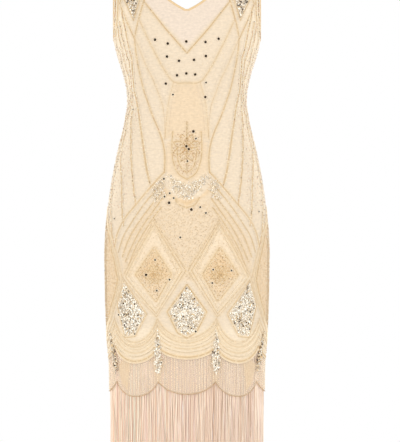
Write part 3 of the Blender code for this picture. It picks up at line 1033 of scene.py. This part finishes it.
class Trim:
    """The stitched work of one side of the dress, both halves."""

    def __init__(self, surface, rng):
        self.surface = surface
        self.rng = rng
        self.beads = Beads()
        self.bands = Bands(surface)

    def row(self, path, width, tints, lift=BEAD_LIFT, length=0.0013):
        points, normal = self.surface.place(path[:, 0], path[:, 1], lift)
        steps = unit(np.gradient(points, axis=0))
        side = np.cross(normal, steps)
        self.beads.add(points, steps * length, side * width, normal * width, tints)

    def tints(self, path, line):
        number = len(path)
        if line.speckle < 0:
            return varied(CREAM_BEAD, number, self.rng, 0.92, 1.0)
        palette = np.array([GOLD_BEAD, CREAM_BEAD, ROSE_BEAD, BROWN])
        mixed = line.speckle * (0.25 + 0.75 * upper_part(path))
        edges = np.cumsum([0.90 - 0.85 * mixed, 0.10 + 0.10 * mixed, 0.53 * mixed], axis=0)
        choice = (self.rng.uniform(0, 1, number) > edges).sum(axis=0)
        return palette[choice] * self.rng.uniform(0.90, 1.05, (number, 1))

    def stitch(self, path, line, sign):
        """Lays one line on one half."""
        path = mirrored(path, sign)
        if line is SPECKLED:
            reach = np.arange(len(path)) * BEAD_PITCH
            sway = 0.0008 * np.sin(reach * 330 + self.rng.uniform(0, math.tau))
            path = path + np.column_stack([sway, np.zeros(len(path))])
        if line.band:
            self.bands.add(path, line.band, line.strength)
        if line.side:
            cross = across_path(path) * line.side
            base, width = (BRIGHT, 0.0011) if line.speckle > 0 else (CREAM_BEAD, 0.0007)
            for offset in (cross, -cross):
                chance = 0.35 + 0.50 * upper_part(path)
                beside = (path + offset)[self.rng.uniform(0, 1, len(path)) < chance]
                pale = varied(base, len(beside), self.rng, 0.90, 1.0)
                self.row(beside, width, pale, length=0.0012)
        self.row(path, line.bead, self.tints(path, line))

    def stitch_both(self, path, line):
        for sign in (1, -1):
            self.stitch(path, line, sign)


# Kinds of line by name. The lines that aren't named here are fine ones.
LINE_STYLES = {
    "kite_inner": ROPE,
    "kite_outer": ROPE,
    "big_v": ROPE,
    "second_v": SOFT,
    "column_side": FAINT,
    "trapezoid": FAINT,
    "waist_one": ROPE,
    "waist_two": HEAVY,
    "waist_three": SPECKLED,
    "waist_four": SPECKLED,
    "waist_five": SPECKLED,
    "tent_one": EDGE,
}


def add_lines(trim):
    """All the bead lines of one side of the dress."""
    surface = trim.surface
    for name, knots in {**BODICE_LINES, **SKIRT_LINES}.items():
        sharp = name.startswith("kite") or name in ("big_v", "stem")
        line = LINE_STYLES.get(name, FINE)
        pitch = BEAD_PITCH * (1.25 if line is SPECKLED else 1.0)
        trim.stitch_both(smooth_path(surface, knots, pitch, straight=sharp), line)
    add_edge_lines(trim)
    add_figures(trim)
    add_medallion(trim)
    add_scallop_lines(trim)


# Lengths of the lines beside the armhole and round the side diamond, for spacing their beads.
ARMHOLE_LINE = 0.27
SIDE_LINE = 0.34


def add_edge_lines(trim):
    """Lines that follow the armhole and the side seam."""
    surface = trim.surface
    top = armhole_curve(surface)
    for offset, line in ((0.0075, SPECKLED), (0.0150, ROPE)):
        curve = np.column_stack([top[:, 0] - offset, top[:, 1]])
        keep = curve[:, 1] > UNDERARM - CHEST_LINE + 0.35 * offset
        trim.stitch_both(evenly_along(curve[keep], int(ARMHOLE_LINE / BEAD_PITCH)), line)
    for share, start, end, line in (
        (0.945, -0.600, -0.850, SPECKLED),
        (0.880, -0.640, -0.820, FINE),
        (0.985, -0.610, -0.880, SPECKLED),
    ):
        path = smooth_path(surface, [Share(share, start), Share(share, end)], BEAD_PITCH * 1.25)
        trim.stitch_both(path, line)


def add_figures(trim):
    """Diamonds, the kites' frames and the side diamonds."""
    surface = trim.surface
    diamond = outline_of(surface, DIAMOND)
    heart = outline_of(surface, DIAMOND_HEART)
    for outline, line in (
        (grown(diamond, 0.0030), SOFT),
        (grown(diamond, -0.0040), SOFT),
        (grown(diamond, -0.0120), PALE_ROW),
        (grown(diamond, -0.0160), PALE_ROW),
        (heart, SOFT),
    ):
        trim.stitch_both(closed_path(outline), line)
    for offset, line in ((0.0060, FINE), (-0.0016, PALE_ROPE), (0.0016, PALE_ROPE), (-0.0070, SOFT)):
        knots = outline_of(surface, SIDE_DIAMOND) + np.array([offset, 0.0])
        knots[:, 0] = np.minimum(knots[:, 0], surface.quarter_run(knots[:, 1]) * 0.995)
        trim.stitch_both(evenly_along(knots, int(SIDE_LINE / BEAD_PITCH)), line)
    for knots, offset in ((SIDE_KITE, 0.007), (STRAP_KITE, 0.006)):
        trim.stitch_both(closed_path(grown(outline_of(surface, knots), offset)), FINE)
    kite = both_halves(outline_of(surface, CENTRE_KITE))
    trim.stitch(closed_path(grown(kite, 0.007)), ROPE, 1)
    for sign in (1, -1):
        add_petals(trim, DIAMOND_CENTRE, sign, 0.020, 0.0042, 8)
        add_petals(trim, DIAMOND_CENTRE, sign, 0.009, 0.0026, 6)


def add_petals(trim, centre, sign, reach, half_width, petals, line=FINE, start=0.15, stretch=1.0):
    """A flower of pointed petals round a centre."""
    run, rise = trim.surface.spot(centre)
    for petal in range(petals):
        turn = math.tau * (petal + 0.5) / petals
        long_way = np.array([math.sin(turn), math.cos(turn) * stretch])
        cross_way = np.array([long_way[1], -long_way[0]])
        t = np.linspace(0, 1, 13)
        bulge = half_width * np.sin(math.pi * t) ** 0.8
        for edge in (1, -1):
            path = np.array([run, rise]) + long_way * (start + (1 - start) * t)[:, None] * reach
            path = path + cross_way * (edge * bulge)[:, None]
            trim.stitch(evenly_along(path, max(4, int(reach / 0.0024))), line, sign)


def add_medallion(trim):
    """Flower and nested hoops on the stomach, under the plain front panel."""
    surface = trim.surface
    add_petals(trim, MEDALLION, 1, 0.030, 0.0062, 8, line=PETAL)
    add_petals(trim, MEDALLION, 1, 0.015, 0.0038, 8, line=PETAL)
    run, rise = surface.spot(MEDALLION)
    turn = np.linspace(0, math.tau, 60)
    for radius in (0.0055, 0.0085):
        path = np.column_stack([run + radius * np.sin(turn), rise + radius * np.cos(turn)])
        hoop = evenly_along(path, int(math.tau * radius / 0.0024))
        trim.row(hoop, 0.0010, trim.tints(hoop, SPECKLED))


# Nested curves over the gold edge, each with its kind of line.
NESTS = (
    (Scallops(-0.8665, -0.8885, -0.8975, -0.8905), EDGE),
    (Scallops(-0.8550, -0.8790, -0.8880, -0.8810), PALE_ROPE),
    (Scallops(-0.8460, -0.8715, -0.8805, -0.8735), SOFT),
    (Scallops(-0.8350, -0.8650, -0.8740, -0.8670), PALE_ROPE),
    (Scallops(-0.8240, -0.8590, -0.8680, -0.8610), SOFT),
    (Scallops(-0.8160, -0.8540, -0.8630, -0.8550), PALE_ROPE),
    (Scallops(-0.8080, -0.8490, -0.8580, -0.8500), SOFT),
)


def scallop_paths(surface, edge, pitch, steps):
    """A path along each scallop of an edge, on the left half."""
    between = 0.5 * (CUSP_NEAR + CUSP_FAR)
    for middle, half in ((0.0, CUSP_NEAR), (between, CUSP_FAR - between), (1.0, 1 - CUSP_FAR)):
        share = middle + np.linspace(-1, 1, steps) * half
        share = share[(share >= 0.0) & (share <= 1.0)]
        rise = scallop_height(edge, share) - CHEST_LINE
        path = np.column_stack([share * surface.quarter_run(rise), rise])
        yield evenly_along(path, max(6, int(path_length(path) / pitch)))


def add_scallop_lines(trim):
    """Nested curves that follow the gold edge."""
    for edge, line in NESTS:
        for path in scallop_paths(trim.surface, edge, BEAD_PITCH, 33):
            trim.stitch_both(path, line)


# Mixes of sequins, by the share of each colour. The bright share is partly painted glint, and the darkened
# silver and dark shares are partly painted reflection of shade, standing in for sequins tipped towards or
# away from the light; the rest is the sequins' own colour.
Glint = namedtuple("Glint", "bright silver dull sand gold dark")
LIVELY = Glint(0.28, 0.34, 0.13, 0.14, 0.06, 0.05)
STRAP = Glint(0.09, 0.30, 0.24, 0.17, 0.08, 0.12)
QUIET = Glint(0.10, 0.44, 0.10, 0.36, 0.00, 0.00)
DULL = Glint(0.00, 0.32, 0.14, 0.54, 0.00, 0.00)
GOLDEN = Glint(0.10, 0.16, 0.12, 0.22, 0.28, 0.12)


def sequin_tints(number, rng, glint):
    """A colour for each sequin, drawn from a mix."""
    # The third colour is the silver darkened: painted reflection of shade, for sequins turned away from the
    # light.
    palette = np.array([BRIGHT, SILVER, tuple(0.74 * v for v in SILVER), SAND, GOLD_BEAD, DARK])
    choice = rng.choice(len(palette), number, p=glint)
    return palette[choice] * rng.uniform(0.93, 1.04, (number, 1))


# Figures filled with sequins on both halves: their colours and how full they are.
SEQUIN_FIGURES = ((SIDE_KITE, LIVELY, 1.0), (STRAP_KITE, STRAP, 0.9), (SPRINKLES, DULL, 0.34))
SEQUIN_SPACING = 0.0026
SEQUIN_RADIUS = 0.0018
SEQUIN_TILT = 0.30

# Where each icicle ends, how far it slants outwards as it rises, and its sequins.
ICICLES = ((CUSP_NEAR, 0.0, LIVELY), (CUSP_FAR, 0.85, GOLDEN))
ICICLE_TIP = -0.924
ICICLE = marks(
    (0.0, -0.832), (-0.018, -0.850), (-0.028, -0.874), (-0.036, -0.896), (-0.030, -0.910), (-0.008, -0.922),
    (0.010, ICICLE_TIP), (0.032, -0.910), (0.036, -0.894), (0.030, -0.874), (0.018, -0.850),
)


def icicle_at(cusp, slant):
    """An icicle at a cusp, slanted outwards."""
    return [Share(cusp + mark.share + slant * (mark.height - ICICLE_TIP), mark.height) for mark in ICICLE]


def add_sequins(surface, sequins, rng):
    """Fills the kites, the crescent and the icicles with overlapping sequins, ragged at the edges."""
    figures = [
        (both_halves(outline_of(surface, CENTRE_KITE)), LIVELY, 1.0),
        (both_halves(outline_of(surface, CRESCENT)), QUIET, 0.62),
    ]
    for sign in (1, -1):
        for knots, glint, fill in SEQUIN_FIGURES:
            figures.append((mirrored(outline_of(surface, knots), sign), glint, fill))
        for cusp, slant, glint in ICICLES:
            figures.append((mirrored(outline_of(surface, icicle_at(cusp, slant)), sign), glint, 0.9))
    for outline, glint, fill in figures:
        ragged = 0.0080 if glint in (QUIET, DULL) else 0.0035
        places = scattered(grown(outline, 0.6 * ragged), SEQUIN_SPACING, rng)
        chance = 0.12 + 0.88 * soft_inside(places, outline, ragged)
        places = places[rng.uniform(0, 1, len(places)) < chance * fill]
        lift = SEQUIN_LIFT + rng.uniform(0, 0.0010, len(places))
        points, normal = surface.place(places[:, 0], places[:, 1], lift)
        tints = sequin_tints(len(points), rng, glint)
        sequins.add(points, normal, SEQUIN_RADIUS, tints, SEQUIN_TILT, rng)


SEED_TENT = marks((0.0, -0.580), (0.19, -0.565), (0.34, -0.612), (0.12, -0.690), (0.0, -0.735))
SEED_STOMACH = marks((0.0, -0.412), (0.13, -0.425), (0.15, -0.465), (0.09, -0.500), (0.0, -0.515))
SEED_SKIRT = marks((0.0, -0.560), (0.50, -0.575), (0.64, -0.720), (0.0, -0.720))
SEED_FLANK = marks((0.55, -0.24), (0.98, -0.24), (0.98, -0.58), (0.60, -0.58), (0.62, -0.40))
SEED_HIP = marks((0.78, -0.44), (0.98, -0.44), (0.98, -0.62), (0.90, -0.66), (0.80, -0.60))
SEED_CHEST = marks((0.05, -0.26), (0.45, -0.20), (0.40, -0.36), (0.05, -0.36))

# Loose seed beads, over the centre line and then on each half: figure, spacing, tint, half size.
CENTRE_SEEDS = (
    (SEED_TENT, 0.0058, SAND, 0.0009),
    (SEED_STOMACH, 0.0062, GOLD_BEAD, 0.0010),
    (SEED_STOMACH, 0.0105, ROSE_BEAD, 0.0010),
    (SEED_STOMACH, 0.0110, BRIGHT, 0.0010),
)
SIDE_SEEDS = (
    (DIAMOND_HEART, 0.0056, GOLD_BEAD, 0.0011),
    (DIAMOND_HEART, 0.0080, BRIGHT, 0.0010),
    (DIAMOND_HEART, 0.0140, DARK, 0.0007),
    (SIDE_DIAMOND, 0.0060, GOLD_BEAD, 0.0010),
    (SIDE_DIAMOND, 0.0110, BRIGHT, 0.0009),
    (SEED_SKIRT, 0.0100, SAND, 0.0010),
    (SEED_FLANK, 0.0075, BRIGHT, 0.0011),
    (SEED_FLANK, 0.0130, ROSE_BEAD, 0.0009),
    (SEED_FLANK, 0.0250, DARK, 0.0008),
    (SEED_HIP, 0.0150, BROWN, 0.0011),
    (SEED_HIP, 0.0090, BRIGHT, 0.0010),
    (SEED_CHEST, 0.0140, CREAM_BEAD, 0.0009),
)


def add_seed_beads(surface, beads, rng):
    """Loose seed beads over the net: thick in the tent, the hearts and the sides."""
    fields = [(both_halves(outline_of(surface, knots)), *rest) for knots, *rest in CENTRE_SEEDS]
    for sign in (1, -1):
        fields += [(mirrored(outline_of(surface, knots), sign), *rest) for knots, *rest in SIDE_SEEDS]
    for outline, spacing, tint, size in fields:
        places = scattered(outline, spacing, rng)
        points, normal = surface.place(places[:, 0], places[:, 1], 0.0005)
        along, across = ways_on(normal)
        tints = varied(tint, len(points), rng, 0.85, 1.05)
        beads.add(points, along * size, across * size, normal * size, tints)


STUD_RADIUS = 0.0026
SMALL_RADIUS = 0.0019
STUD_SIDES = 10
# Each ring of a stone: its share of the radius and its height, in radii.
STUD_RINGS = ((1.00, 0.0), (1.00, 0.25), (0.62, 0.52))
STUD_TOP = 0.58


def stud_meshes(surface, name, stone, setting):
    """Faceted dark stones, each in a pale beaded setting."""
    places = outline_of(surface, STUDS + SMALL_STUDS)
    radii = np.array([STUD_RADIUS] * len(STUDS) + [SMALL_RADIUS] * len(SMALL_STUDS))[:, None]
    points, normal = surface.place(places[:, 0], places[:, 1], 0.0004)
    along, across = ways_on(normal)
    turns = even_turns(STUD_SIDES)
    levels = []
    for share, height in STUD_RINGS:
        reach = radii * share
        levels.append(rings(points + normal * radii * height, along * reach, across * reach, turns))
    levels.append((points + normal * radii * STUD_TOP)[:, None, :])
    index = np.arange(len(STUD_RINGS) * STUD_SIDES).reshape(len(STUD_RINGS), STUD_SIDES)
    faces = np.concatenate([halved(tube_of(index)), fan(index[-1], index.size)])
    stones = Gathered()
    stones.gather(np.concatenate(levels, axis=1), faces, np.tile(STONE, (len(points), 1)))
    halo = Beads()
    for turn in even_turns(12):
        way = along * math.cos(turn) + across * math.sin(turn)
        centres = points + way * radii * 1.40 + normal * 0.0004
        tints = np.tile(SETTING, (len(points), 1))
        halo.add(centres, along * 0.0010, across * 0.0010, normal * 0.0009, tints)
    return stones.build(name, stone), halo.build(name + "_settings", setting)


# ---------------------------------------------------------------- cloth pieces


def over_edge(surface, edge, runs, rises):
    """How far points lie above a scalloped edge."""
    beside = np.clip(np.abs(runs) / surface.quarter_run(rises), 0, 1)
    return rises - (scallop_height(edge, beside) - CHEST_LINE)


def soft_inside(points, outline, soften):
    """1 inside an outline, 0 outside, blurred over a distance."""
    found = inside(points, outline)
    nearest = np.full(len(points), 1e9)
    for a, b in zip(outline, np.roll(outline, -1, axis=0)):
        way = b - a
        t = np.clip(((points - a) @ way) / max(way @ way, 1e-12), 0, 1)
        nearest = np.minimum(nearest, np.linalg.norm(points - (a + t[:, None] * way), axis=1))
    signed = np.where(found, nearest, -nearest)
    return smooth_step(signed / soften * 0.5 + 0.5)


# How far a figure on the centre line is carried over it, so that it has no edge there.
OVER_CENTRE = 0.010


def cloth_regions(surface, runs, rises):
    """How tan, pale, pinkish and seeded the cloth is at each point."""
    points = np.column_stack([np.abs(runs), rises])

    def region(knots, soften=0.004, grow=0.0):
        outline = outline_of(surface, knots)
        on_axis = outline[:, 0] < 1e-6
        outline = grown(outline, grow) if grow else outline
        outline[on_axis, 0] = -OVER_CENTRE
        return soft_inside(points, outline, soften)

    trapezoid = marks((0, -0.319), (0.137, -0.317), (0.235, -0.400), (0.24, -0.430), (0, -0.44))
    medallion = marks((0, -0.430), (0.22, -0.440), (0.22, -0.500), (0.10, -0.520), (0, -0.530))
    tent = marks((0, -0.570), (0.22, -0.545), (0.64, -0.650), (0.62, -0.720), (0, -0.730))
    yoke = (Share(0, -0.253), Share(0.397, -0.149), Run(0.097, 0.010), Run(0.100, 0.139), Run(-0.02, 0.139))
    crescent = marks((0, -0.560), (0.12, -0.556), (0.23, -0.530), (0.22, -0.545), (0, -0.580))
    heart = region(DIAMOND_HEART, soften=0.012)
    diamond = region(DIAMOND)
    side = region((*SIDE_DIAMOND, Share(1.15, -0.855), Share(1.15, -0.585)))
    tan = np.clip(
        0.62 * heart
        + 0.56 * side
        + 0.46 * region(trapezoid, soften=0.010)
        + 0.40 * region(medallion)
        + 0.30 * region(tent)
        + 0.75 * region(crescent),
        0,
        1,
    )
    near_edge = over_edge(surface, GOLD_EDGE, runs, rises)
    tan = np.maximum(tan, 0.5 * smooth_step((0.010 - near_edge) / 0.006))
    kites = region(CENTRE_KITE, grow=0.008) + region(SIDE_KITE, grow=0.008)
    flank = marks((0.60, -0.16), (1.1, -0.16), (1.1, -0.58), (0.80, -0.58), (0.70, -0.36))
    pale = 0.27 * (diamond - heart) + 0.4 * kites + 0.5 * region(CRESCENT, grow=0.004)
    above_edge = smooth_step((-0.815 - (rises + CHEST_LINE)) / 0.025)
    pale = np.clip(pale + 0.75 * region(flank, soften=0.020) + 0.45 * above_edge, 0, 1)
    seeded = np.clip(0.35 + 0.6 * region(tent) + 0.5 * heart + 0.4 * side - 0.3 * region(yoke), 0, 1)
    return {"Tan": tan, "Pale": pale, "Yoke": region(yoke), "Seeded": seeded}


# Rows below and above the underarm, and columns, of half a panel.
PANEL_GRID = (150, 64, 60)
# Rows and columns of half the sheer tier, and how far it runs up behind the gold edge.
TIER_GRID = (22, 80)
TIER_OVERLAP = 0.0015
TIER_INSET = 0.0014


def make_cloth(surface, net, lining):
    runs, rises = panel_grid(surface, *PANEL_GRID)
    cloth = Sheet(surface, runs, rises)
    made = cloth.walled(surface.side + "_cloth", SHELL_WALL, [net, lining])
    for name, values in cloth_regions(surface, cloth.runs, cloth.rises).items():
        add_tint(made, name, np.concatenate([values, values]))
    add_tint(made, "Couched", np.zeros(2 * len(cloth.runs)))
    return made, cloth


# Tanner patches of the sheer tier.
TIER_LEAF = marks((0.550, -0.900), (0.620, -0.888), (0.725, -0.905), (0.670, -0.945), (0.590, -0.962))
TIER_WEDGE = marks((0.205, -0.890), (0.345, -0.890), (0.300, -0.944), (0.240, -0.944))


def make_tier(surface, sheer):
    runs, rises = band_grid(surface, GOLD_EDGE, TIER_OVERLAP, NET_EDGE, *TIER_GRID)
    tier = Sheet(surface, runs, rises)
    made = tier.walled("hem_tier_" + surface.side, TIER_WALL, [sheer], lift=-TIER_INSET)
    points = np.column_stack([np.abs(tier.runs), tier.rises])
    near_edge = over_edge(surface, NET_EDGE, tier.runs, tier.rises)
    tan = 0.9 * smooth_step((0.0035 - near_edge) / 0.002)
    for patch, amount, soften in ((TIER_LEAF, 0.80, 0.005), (TIER_WEDGE, 0.62, 0.008)):
        tan = np.maximum(tan, amount * soft_inside(points, outline_of(surface, patch), soften))
    add_tint(made, "Tan", np.concatenate([tan, tan]))
    return made, tier


TIER_THREADS = 38
THREAD_PITCH = 0.0038
HEM_PITCH = 0.0024


def tier_beads(trim):
    """Bead line along the lower edge of the sheer tier, and upright threads of beads on it."""
    surface = trim.surface
    for path in scallop_paths(surface, NET_EDGE, HEM_PITCH, 41):
        for sign in (1, -1):
            tints = varied(EDGE_BEAD, len(path), trim.rng, 0.9, 1.05)
            trim.row(mirrored(path, sign), 0.0010, tints, lift=0.0, length=0.0012)
    for share in np.linspace(0.012, 0.985, TIER_THREADS):
        top = float(scallop_height(GOLD_EDGE, share))
        end = float(scallop_height(NET_EDGE, share))
        path = smooth_path(surface, [Share(share, top - 0.003), Share(share, end + 0.005)], THREAD_PITCH)
        for sign in (1, -1):
            kept = mirrored(path, sign)[trim.rng.uniform(0, 1, len(path)) < 0.8]
            trim.row(kept, 0.0009, trim.tints(kept, PALE_ROW), lift=0.0, length=0.0016)


# Each layer of strands: how far inside the cloth it hangs, its spacing and its painted shade, darker for
# the deeper layers.
Layer = namedtuple("Layer", "inset spacing brightness")
FRINGE_LAYERS = (Layer(0.0038, 0.0022, 1.0), Layer(0.0058, 0.0024, 0.95), Layer(0.0078, 0.0030, 0.90))
STRAND_SIDES = 3
STRAND_STEPS = 18
# Least and most of each measure that varies from strand to strand.
LOCK_SPACING = (0.010, 0.022)
LOCK_PULL = (0.15, 0.55)
STRAND_WAVE = (0.0004, 0.0012)
STRAND_EXTRA = (0.0, 0.012)
STRAND_RADIUS = (0.00085, 0.00120)


def make_fringe(surface, finish, rng):
    """Hanging strands in three layers, drawn a little together in locks."""
    quarter = float(surface.quarter_run(FRINGE_TOP - CHEST_LINE))
    reach = FRINGE_TOP - FRINGE_END
    heights = np.linspace(FRINGE_TOP, FRINGE_END, STRAND_STEPS + 1)
    index = np.arange((STRAND_STEPS + 1) * STRAND_SIDES).reshape(STRAND_STEPS + 1, STRAND_SIDES)
    faces = np.concatenate([halved(tube_of(index)), index[:1], index[-1:, ::-1]])
    strands = Gathered()
    for layer in FRINGE_LAYERS:
        locks = np.cumsum(rng.uniform(*LOCK_SPACING, 200)) - 1.2
        for share in np.linspace(-0.998, 0.998, int(2 * quarter / layer.spacing)):
            lock = locks[np.argmin(np.abs(locks - share))]
            pull = rng.uniform(*LOCK_PULL)
            phase = rng.uniform(0, math.tau)
            wave = rng.uniform(*STRAND_WAVE)
            drop = heights + rng.uniform(*STRAND_EXTRA) * (heights - FRINGE_TOP) / reach
            down = (FRINGE_TOP - drop) / reach
            rise = drop - CHEST_LINE
            run = (share + (lock - share) * pull * smooth_step(down * 1.3)) * surface.quarter_run(rise)
            run = run + wave * np.sin(phase + down * rng.uniform(5, 11)) * smooth_step(down * 3)
            run = np.clip(run, -surface.quarter_run(rise), surface.quarter_run(rise))
            depth = -layer.inset + rng.uniform(-0.0008, 0.0008) + 0.0006 * np.sin(phase * 2 + down * 7)
            centre, normal = surface.place(run, rise, depth)
            side = np.cross(normal, np.array([0.0, 0.0, 1.0]))
            radius = (rng.uniform(*STRAND_RADIUS) * (1 - 0.25 * down))[:, None]
            ring = rings(centre, side * radius, normal * radius, even_turns(STRAND_SIDES))
            dyed = FRINGE_TINTS[rng.choice(len(FRINGE_TINTS), p=FRINGE_SHARES)]
            # Each strand's tone varies at random, times the layer's factor, which paints shade on the
            # deeper strands.
            shade = rng.uniform(0.92, 1.04) * layer.brightness
            # Painted light and shade across the fringe: strands towards the dress's right are lighter and
            # those towards its left darker.
            shade *= 1.02 + 0.09 * math.cos(3.0 * (share + 0.6))
            strands.gather(ring.reshape(1, -1, 3), faces, np.clip([np.array(dyed) * shade], 0, 1))
    return strands.build("fringe_strands_" + surface.side, finish, smooth=True)


BINDING_SIDES = 8
BINDING_HALF_WIDTH = 0.0027
BINDING_HALF_HEIGHT = 0.0017
BINDING_INSET = 0.0018


def binding_ring(name, places, finish):
    """Rounded band round an opening; places are rows of centre, inward way and outward normal."""
    centre, inward, normal = (np.array(part) for part in zip(*places))
    turns = even_turns(BINDING_SIDES)
    ring = rings(centre, inward * BINDING_HALF_WIDTH, normal * BINDING_HALF_HEIGHT, turns)
    index = np.arange(len(centre) * BINDING_SIDES).reshape(-1, BINDING_SIDES)
    faces = tube_of(np.vstack([index, index[:1]]))
    return mesh_object(name, ring.reshape(-1, 3), faces, [finish])


def edge_places(surface, path, sign, towards):
    """Places along an edge's binding: centre, way in towards the cloth, and normal."""
    path = mirrored(path[1:-1], sign)
    points, normal = surface.place(path[:, 0], path[:, 1], -0.5 * SHELL_WALL)
    inward = unit(np.cross(normal, np.gradient(points, axis=0)))
    rows = []
    for point, way, out in zip(points, inward, normal):
        if way @ towards(point) < 0:
            way = -way
        rows.append((point + way * BINDING_INSET, way, out))
    return rows


def neck_ring(surfaces, finish):
    rows = []
    quarters = (("front", 1, False), ("back", 1, True), ("back", -1, False), ("front", -1, True))
    for side, sign, reverse in quarters:
        path = evenly_along(neckline_curve(side), 64)
        part = edge_places(surfaces[side], path, sign, lambda p: np.array([p[0], 0.0, -0.06]))
        rows += part[::-1] if reverse else part
    return binding_ring("neck_edge", rows, finish)


def armhole_ring(surfaces, name, sign, finish):
    rows = []
    middle = np.array([sign * ARMHOLE_X, 0.0, -0.135])
    for side, reverse in (("front", False), ("back", True)):
        path = evenly_along(armhole_curve(surfaces[side]), 72)
        part = edge_places(surfaces[side], path, sign, lambda p: p - middle)
        rows += part[::-1] if reverse else part
    return binding_ring(name, rows, finish)


# ---------------------------------------------------------------- stage


SENSOR = 36.0
PICTURE_HEIGHT = 0.9282
PICTURE_CENTRE = (0.0273, -0.6048)
CAMERA_DISTANCE = 14.0
FLOOR_HEIGHT = -1.40
# Each lamp's place, the height it's aimed at, its size and its power.
LAMPS = (
    ("key", (-1.6, -2.6, 0.9), -0.55, 1.6, 11.0),
    ("fill", (2.4, -1.5, 0.1), -0.55, 1.6, 17.0),
    ("rim", (0.6, 2.4, 0.8), -0.55, 1.4, 12.0),
    ("low", (-1.7, -1.7, -1.15), -1.0, 1.4, 11.0),
)


def make_stage():
    """Pale floor, white surroundings, four soft lamps and the camera."""
    scene = bpy.context.scene
    world = bpy.data.worlds.new("studio")
    scene.world = world
    world.use_nodes = True
    sky = world.node_tree.nodes["Background"]
    sky.inputs["Color"].default_value = (1.0, 1.0, 1.0, 1.0)
    sky.inputs["Strength"].default_value = 1.0
    scene.view_settings.view_transform = "Standard"

    where = (0.0, 0.0, FLOOR_HEIGHT)
    bpy.ops.mesh.primitive_circle_add(vertices=96, radius=2.2, fill_type="NGON", location=where)
    floor = bpy.context.object
    floor.name = "studio_floor"
    pale = Nodes("studio_floor")
    pale.set(Base_Color=(0.86, 0.86, 0.86, 1.0), Roughness=0.9)
    floor.data.materials.append(pale.material)

    for name, place, aim, size, power in LAMPS:
        lamp = bpy.data.lights.new(name, "AREA")
        lamp.size = size
        lamp.energy = power
        made = bpy.data.objects.new(name, lamp)
        scene.collection.objects.link(made)
        made.location = place
        way = np.array([0.0, 0.0, aim]) - np.array(place)
        tilt = math.acos(-way[2] / np.linalg.norm(way))
        made.rotation_euler = (tilt, 0.0, math.atan2(way[1], way[0]) - math.pi / 2)

    camera_data = bpy.data.cameras.new("camera")
    camera = bpy.data.objects.new("camera", camera_data)
    scene.collection.objects.link(camera)
    camera.location = (PICTURE_CENTRE[0], -CAMERA_DISTANCE, PICTURE_CENTRE[1])
    camera.rotation_euler = (math.pi / 2, 0.0, 0.0)
    camera_data.sensor_width = SENSOR
    camera_data.lens = SENSOR * CAMERA_DISTANCE / PICTURE_HEIGHT
    camera_data.clip_end = 50.0
    scene.camera = camera


# ---------------------------------------------------------------- assembly


def keep(piece, slot, *nodes):
    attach(piece, "root")
    if nodes:
        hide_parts(*nodes)
    return piece


def main():
    rng = np.random.default_rng(1926)
    surfaces = {side: Surface(side) for side in FACING}
    net = beaded_net_material()
    lining = lining_material()
    sheer = tier_material()
    gold = tinted_material("gold_beads", 0.32, 0.25, coat=0.3)
    silver = tinted_material("silver_sequins", 0.24, 0.55, coat=0.2)
    stone = tinted_material("dark_stones", 0.30, 0.0, specular=0.15)
    binding = binding_material()
    strands = glowing_fringe_material()

    make_stage()
    neck = keep(neck_ring(surfaces, binding), "gold_binding", "neck_binding")
    left = armhole_ring(surfaces, "armhole_edge_left", 1, binding)
    right = armhole_ring(surfaces, "armhole_edge_right", -1, binding)
    keep(left, "gold_binding", "armhole_binding_left")
    keep(right, "gold_binding", "armhole_binding_right")

    for side, surface in surfaces.items():
        cloth, cut = make_cloth(surface, net, lining)
        keep(cloth, "beaded_net", side + "_panel")
        tier, tier_cut = make_tier(surface, sheer)
        keep(tier, "sheer_net", "hem_net_" + side)
        trim = Trim(surface, rng)
        add_lines(trim)
        line_beads = keep(trim.beads.build("bead_lines_" + side, gold), "beaded_net")
        couched = keep(trim.bands.build("couched_threads_" + side, net), "beaded_net")
        seeds = Beads()
        add_seed_beads(surface, seeds, rng)
        seed_beads = keep(seeds.build("seed_beads_" + side, gold), "beaded_net")
        hem = Trim(surface, rng)
        tier_beads(hem)
        hem_beads = keep(hem.beads.build("hem_beads_" + side, gold), "sheer_net")
        sparkle = Sequins()
        add_sequins(surface, sparkle, rng)
        sequins = keep(sparkle.build("sequins_" + side, silver), "beaded_net")
        stones, settings = stud_meshes(surface, "studs_" + side, stone, gold)
        keep(stones, "beaded_net")
        keep(settings, "beaded_net")
        fringe = keep(make_fringe(surface, strands, rng), "fringe", "fringe_" + side)

        trims = [line_beads, couched, seed_beads, sequins, stones, settings]
        trims += [neck, left, right] if side == "front" else []
        cut.area()
        tier_cut.area()


main()
